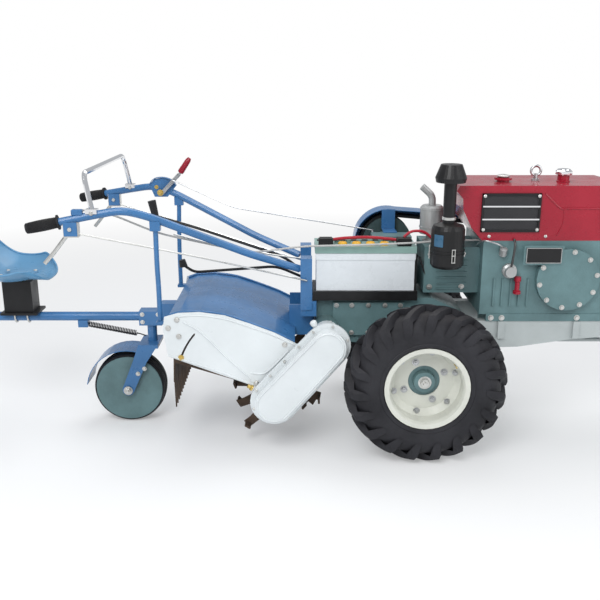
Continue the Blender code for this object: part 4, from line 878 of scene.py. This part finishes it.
def make_grip(side_name, side):
    low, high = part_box(f"{side_name}_grip")
    start = Vector((low[0] + 0.004, side * 0.386, 0.950))
    ahead = (Vector((-1.290, side * 0.352, 0.994)) - Vector((-1.530, side * 0.386, 0.950))).normalized()
    profile = [(0.0, -0.006), (0.016, -0.006), (0.0205, -0.002)]
    for i in range(22):
        z = 0.002 + i * 0.005
        swell = 0.0195 + 0.0018 * math.sin(math.pi * i / 22)
        profile += [(swell, z), (swell + 0.0016, z + 0.0015), (swell + 0.0016, z + 0.003), (swell, z + 0.0042)]
    profile += [(0.020, 0.113), (0.0285, 0.1140), (0.0285, 0.1200), (0.0170, 0.1208)]
    base = Vector((AX - 1.530, side * 0.386, 0.950))
    grip = piece(f"{side_name}_ribbed_grip", turned(profile, base, ahead, 32), "rubber", "chassis", 50)
    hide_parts(f"{side_name}_grip")
    rod = sweep([(AX - 1.350, side * 0.356, 0.924), (AX - 0.900, side * 0.262, 0.810), (AX - 0.470, side * 0.172, 0.690)],
                0.0036, 8, 1)
    piece(f"{side_name}_steering_rod", rod, "zinc", "chassis")
    cheeks = bmesh.new()
    for y in (-0.0185, 0.0163):
        centre_y = side * 0.3635
        merge(cheeks, slab(AX - 1.396, AX - 1.344, centre_y + y, centre_y + y + 0.0022, 0.918, 0.972, 0.0008))
    piece(f"{side_name}_lever_bracket", cheeks, "blue", "chassis")
    bolt = [hex_bolt((AX - 1.372, side * 0.3635 - 0.016, 0.945), (0, -1, 0), 0.0085),
            hex_bolt((AX - 1.290, side * 0.352 - 0.018, 1.004), (0, -1, 0), 0.006, tip=False)]
    many(f"{side_name}_lever_bolts", bolt, "zinc", "chassis")


for side_name, side in SIDES:
    make_grip(side_name, side)


def make_control_details():
    low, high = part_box("clutch_lever")
    ahead = Vector((0.55, 0.0, 0.80)).normalized()
    end = Vector((high[0] - 0.009 * ahead.z, (low[1] + high[1]) / 2, high[2] - 0.009 * ahead.x))
    profile = [(0.0, -0.001), (0.0122, -0.001), (0.0138, 0.004), (0.0128, 0.040), (0.0122, 0.066),
               (0.0080, 0.078), (0.0, 0.079)]
    grip = turned(profile, end - ahead * 0.075, ahead, 24)
    for k in range(5):
        ring = [(0.0, 0.0), (0.0142 - 0.0003 * k, 0.001), (0.0142 - 0.0003 * k, 0.005), (0.0, 0.006)]
        merge(grip, turned(ring, end - ahead * (0.067 - 0.011 * k), ahead, 24))
    piece("clutch_grip_sleeve", grip, "red", "chassis")
    low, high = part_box("clutch_quadrant")
    spot_x, base = low[0] + 0.052, high[2] - 0.088
    fan_y = low[1] + 0.016
    arc = [(-0.052, 0.055), (-0.030, 0.082), (0.010, 0.088), (0.050, 0.076), (0.070, 0.050)]
    line = smooth_path([(spot_x + x, 0, base + z) for x, z in arc], 6)
    flange = ribbon(line, fan_y - 0.012, fan_y + 0.012, 0.0025)
    piece("quadrant_flange", flange, "blue", "chassis")
    clamp = hex_bolt((spot_x, fan_y - 0.022, base + 0.022), (0, -1, 0), 0.011)
    merge(clamp, hex_bolt((spot_x - 0.020, fan_y - 0.003, base + 0.045), (0, -1, 0), 0.007, tip=False))
    piece("quadrant_bolts", clamp, "brass", "chassis")
    rods = sweep([(AX - 0.480, -0.075, 0.760), (AX - 0.640, -0.110, 0.790), (AX - 0.860, -0.190, 0.850),
                  (AX - 1.000, -0.250, 0.900)], 0.0036, 8, 6)
    piece("brake_rod", rods, "zinc", "chassis")


make_control_details()


def make_belt_fittings():
    low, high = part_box("drive_belts")
    grooves = bmesh.new()
    bolts = []
    cx, cz = AX - 0.098, 0.770
    outer = high_of("clutch_pulley").y
    cap = turned([(0.0, 0.0), (0.040, 0.0), (0.040, 0.010), (0.030, 0.016), (0.012, 0.018), (0.0, 0.018)],
                 (cx, outer - 0.001, cz), (0, 1, 0), 32)
    piece("pulley_cap", cap, "zinc", "chassis")
    for i in range(6):
        a = math.radians(60 * i)
        bolts.append(hex_bolt((cx + 0.070 * math.cos(a), outer - 0.001, cz + 0.070 * math.sin(a)), (0, 1, 0), 0.007))
    fx, fz = AX + 0.600, 0.735
    face = high_of("flywheel").y
    bolts.append(hex_bolt((fx, face - 0.001, fz), (0, 1, 0), 0.022))
    many("pulley_bolts", bolts, "zinc", "chassis")
    grooves.free()


make_belt_fittings()


def make_left_bolts():
    """Bolts round the rotor bearing, and the two stays beside the battery."""
    low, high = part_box("rotor_bearing")
    x, z = (low[0] + high[0]) / 2, (low[2] + high[2]) / 2
    radius = (high[0] - low[0]) / 2 - 0.014
    bolts = []
    for i in range(4):
        a = math.radians(45 + 90 * i)
        bolts.append(hex_bolt((x + radius * math.cos(a), high[1] - 0.001, z + radius * math.sin(a)), (0, 1, 0), 0.007))
    many("bearing_bolts", bolts, "zinc", "chassis")
    low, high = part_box("battery")
    stays = sweep([(high[0] + 0.010, low[1] + 0.020, low[2] - 0.030), (high[0] + 0.012, low[1] + 0.020, high[2] - 0.010),
                   (high[0] + 0.060, low[1] + 0.030, high[2] - 0.130)], 0.004, 8, 4)
    merge(stays, sweep([(high[0] + 0.010, high[1] - 0.020, low[2] - 0.030), (high[0] + 0.012, high[1] - 0.020,
                        high[2] - 0.010)], 0.004, 8, 1))
    piece("battery_stays", stays, "black", "chassis")


make_left_bolts()

# Seat and tail --------------------------------------------------------------------------------


def make_spring():
    """A close-wound tension spring between the beam bracket and the tail leg."""
    start = Vector((AX - 1.433, 0, 0.446))
    end = Vector((AX - 1.225, 0, 0.404))
    ahead = (end - start).normalized()
    across = Vector((0, 1, 0))
    other = ahead.cross(across)
    turns, per_turn = 30, 10
    path = []
    for i in range(turns * per_turn + 1):
        t = i / (turns * per_turn)
        a = 2 * math.pi * i / per_turn
        path.append(start + (end - start) * t + (across * math.cos(a) + other * math.sin(a)) * 0.0105)
    bm = sweep(path, 0.0026, 6, 1)
    hook = sweep([end, end + ahead * 0.016, Vector((AX - 1.185, 0, 0.392))], 0.0028, 8, 4)
    merge(bm, hook)
    merge(bm, sweep([start, start - ahead * 0.010, start - ahead * 0.012 + Vector((0, 0, 0.004))], 0.0028, 8, 3))
    spring = piece("coil_spring", bm, "black", "chassis", 60)
    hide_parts("leg_spring")


SEAT_ROWS, SEAT_COLUMNS = 40, 48
SEAT_ROLL = 0.0075


def make_seat_shell():
    """A pressed pan seat: a dished sheet that rises to a low back, with a rolled edge."""
    low, high = (Vector(c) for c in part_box("seat"))
    half = high.y - 0.004
    bm = bmesh.new()
    grid = []
    for i in range(SEAT_ROWS + 1):
        u = i / SEAT_ROWS
        row = []
        for j in range(SEAT_COLUMNS + 1):
            v = 2 * j / SEAT_COLUMNS - 1
            squeeze = 1 - 0.26 * abs(2 * u - 0.9) ** 3
            corner = max(0.0, abs(2 * u - 1) - 0.72) / 0.28
            y = v * half * squeeze * (1 - 0.10 * corner**2)
            x = high.x - 0.004 + (low.x - high.x + 0.008) * u
            x += (0.5 - u) * -0.10 * v**4 * abs(2 * u - 1)
            rise = 0.055 * abs(v) ** 3
            back = 0.160 * max(0.0, u - 0.45) ** 2 / 0.3025
            lip = -0.026 * max(0.0, 0.14 - u) / 0.14
            z = 0.690 - 0.028 * math.sin(math.pi * min(u * 1.4, 1.0)) + rise + back + lip
            row.append(bm.verts.new((x, y, z)))
        grid.append(row)
    for i in range(SEAT_ROWS):
        for j in range(SEAT_COLUMNS):
            bm.faces.new((grid[i][j], grid[i][j + 1], grid[i + 1][j + 1], grid[i + 1][j]))
    edge = [grid[0][j].co.copy() for j in range(SEAT_COLUMNS)]
    edge += [grid[i][SEAT_COLUMNS].co.copy() for i in range(SEAT_ROWS)]
    edge += [grid[SEAT_ROWS][j].co.copy() for j in range(SEAT_COLUMNS, 0, -1)]
    edge += [grid[i][0].co.copy() for i in range(SEAT_ROWS, 0, -1)]
    edge.append(edge[0])
    bmesh.ops.recalc_face_normals(bm, faces=bm.faces)
    if grid[SEAT_ROWS // 2][SEAT_COLUMNS // 2].normal.z < 0:
        bmesh.ops.reverse_faces(bm, faces=bm.faces)
    bmesh.ops.solidify(bm, geom=bm.faces[:], thickness=0.004)
    merge(bm, sweep(edge, SEAT_ROLL * 0.6, 8, 1))
    # The pan wears the lighter blue, a painted sheen on the seat paint.
    pan = piece("seat_pan", bm, "blue_painted_sheen", "chassis", 50)
    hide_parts("seat")
    bolts = [screw_head((AX + x, y, 0.6795), (0, 0, 1), 0.009) for x in (-1.785, -1.665) for y in (-0.045, 0.045)]
    many("seat_bolts", bolts, "zinc", "chassis")


def make_tail_fittings():
    beam = middle("seat_beam")
    clamps = bmesh.new()
    for x in (-1.695, -1.750):
        loop = [(AX + x, -0.024, 0.500), (AX + x, -0.024, 0.478), (AX + x, -0.012, 0.460), (AX + x, 0.012, 0.460),
                (AX + x, 0.024, 0.478), (AX + x, 0.024, 0.500)]
        merge(clamps, sweep(loop, 0.004, 8, 4))
    piece("seat_clamps", clamps, "zinc", "chassis")
    bolts = []
    for x, z in ((-1.190, 0.465), (-1.120, 0.465), (-1.190, 0.500), (-1.120, 0.500)):
        for side in (-1, 1):
            bolts.append(hex_bolt((AX + x, side * 0.032, z), (0, side, 0), 0.0075))
    many("tail_block_bolts", bolts, "zinc", "chassis")
    fork_bolts = []
    for x, z in ((-1.185, 0.262), (-1.215, 0.238)):
        for side in (-1, 1):
            fork_bolts.append(hex_bolt((AX + x, side * 0.072, z), (0, side, 0), 0.0075, tip=False))
    many("fork_bolts", fork_bolts, "zinc", "tail_steering")


make_spring()
make_seat_shell()
make_tail_fittings()

# Stage, lights and camera ---------------------------------------------------------------------


FLOOR_SIZE = 16.0
FADE_FROM, FADE_TO = 2.2, 5.5


def stage_material():
    """Pale floor round the machine that fades to white before the camera, and keeps the shadow."""
    n = Nodes("stage_white")
    n.shader.inputs["Base Color"].default_value = (0.84, 0.85, 0.86, 1.0)
    n.shader.inputs["Roughness"].default_value = 0.9
    place = n.add("ShaderNodeTexCoord")
    length = n.add("ShaderNodeVectorMath", operation="LENGTH")
    n.link(place.outputs["Object"], length.inputs[0])
    fade = n.add("ShaderNodeMapRange")
    fade.inputs["From Min"].default_value = FADE_FROM
    fade.inputs["From Max"].default_value = FADE_TO
    fade.inputs["To Min"].default_value = 0.25
    n.link(length.outputs["Value"], fade.inputs["Value"])
    seen = camera_seen(n)
    both = n.add("ShaderNodeMath", operation="MULTIPLY")
    n.link(fade.outputs["Result"], both.inputs[0])
    n.link(seen, both.inputs[1])
    white = n.add("ShaderNodeEmission")
    white.inputs["Color"].default_value = (1.0, 1.0, 1.0, 1.0)
    mix = n.add("ShaderNodeMixShader")
    n.link(both.outputs["Value"], mix.inputs[0])
    n.link(n.shader.outputs["BSDF"], mix.inputs[1])
    n.link(white.outputs["Emission"], mix.inputs[2])
    n.link(mix.outputs["Shader"], n.tree.nodes["Material Output"].inputs["Surface"])
    return n.material


def camera_seen(n):
    """1 for camera, mirror and glass rays, 0 for the rays that light the object."""
    path = n.add("ShaderNodeLightPath")
    first = n.add("ShaderNodeMath", operation="MAXIMUM")
    n.link(path.outputs["Is Camera Ray"], first.inputs[0])
    n.link(path.outputs["Is Glossy Ray"], first.inputs[1])
    second = n.add("ShaderNodeMath", operation="MAXIMUM")
    n.link(first.outputs["Value"], second.inputs[0])
    n.link(path.outputs["Is Transmission Ray"], second.inputs[1])
    return second.outputs["Value"]


def make_stage():
    mesh = bpy.data.meshes.new("floor")
    corner = FLOOR_SIZE
    corners = [(-corner, -corner, 0), (corner, -corner, 0), (corner, corner, 0), (-corner, corner, 0)]
    mesh.from_pydata(corners, [], [(0, 1, 2, 3)])
    mesh.materials.append(stage_material())
    floor = bpy.data.objects.new("floor", mesh)
    bpy.context.scene.collection.objects.link(floor)


def area_light(name, spot, target, size, power):
    light = bpy.data.lights.new(name, "AREA")
    light.shape = "SQUARE"
    light.size = size
    light.energy = power
    item = bpy.data.objects.new(name, light)
    item.location = spot
    item.rotation_euler = (Vector(target) - Vector(spot)).to_track_quat("-Z", "Y").to_euler()
    bpy.context.scene.collection.objects.link(item)


def make_light():
    """An even pale sky that the camera sees as white, a soft key from the front left, and two fills."""
    world = bpy.data.worlds.new("studio")
    world.use_nodes = True
    tree = world.node_tree
    back = tree.nodes["Background"]
    back.inputs["Color"].default_value = (0.95, 0.97, 1.0, 1.0)
    back.inputs["Strength"].default_value = 0.55
    white = tree.nodes.new("ShaderNodeBackground")
    white.inputs["Color"].default_value = (1.0, 1.0, 1.0, 1.0)
    path = tree.nodes.new("ShaderNodeLightPath")
    mix = tree.nodes.new("ShaderNodeMixShader")
    tree.links.new(path.outputs["Is Camera Ray"], mix.inputs[0])
    tree.links.new(back.outputs["Background"], mix.inputs[1])
    tree.links.new(white.outputs["Background"], mix.inputs[2])
    tree.links.new(mix.outputs["Shader"], tree.nodes["World Output"].inputs["Surface"])
    bpy.context.scene.world = world
    area_light("key", (-1.2, -3.4, 3.6), (0.0, 0.0, 0.5), 2.4, 125)
    area_light("fill", (3.4, -2.2, 2.2), (0.2, 0.0, 0.5), 2.4, 45)
    area_light("top", (0.3, 1.6, 4.0), (0.0, 0.0, 0.6), 3.0, 70)


def make_camera():
    """Seen from the machine's right side, from above handlebar height."""
    data = bpy.data.cameras.new("camera")
    data.lens = 46.8
    data.sensor_width = 36.0
    camera = bpy.data.objects.new("camera", data)
    camera.location = (AX - 0.499, -3.293, 1.511)
    camera.rotation_euler = (math.radians(90.0 - 16.16), 0.0, 0.0)
    bpy.context.scene.collection.objects.link(camera)
    bpy.context.scene.camera = camera


make_stage()
make_light()
make_camera()
bpy.context.scene.view_settings.view_transform = "Standard"
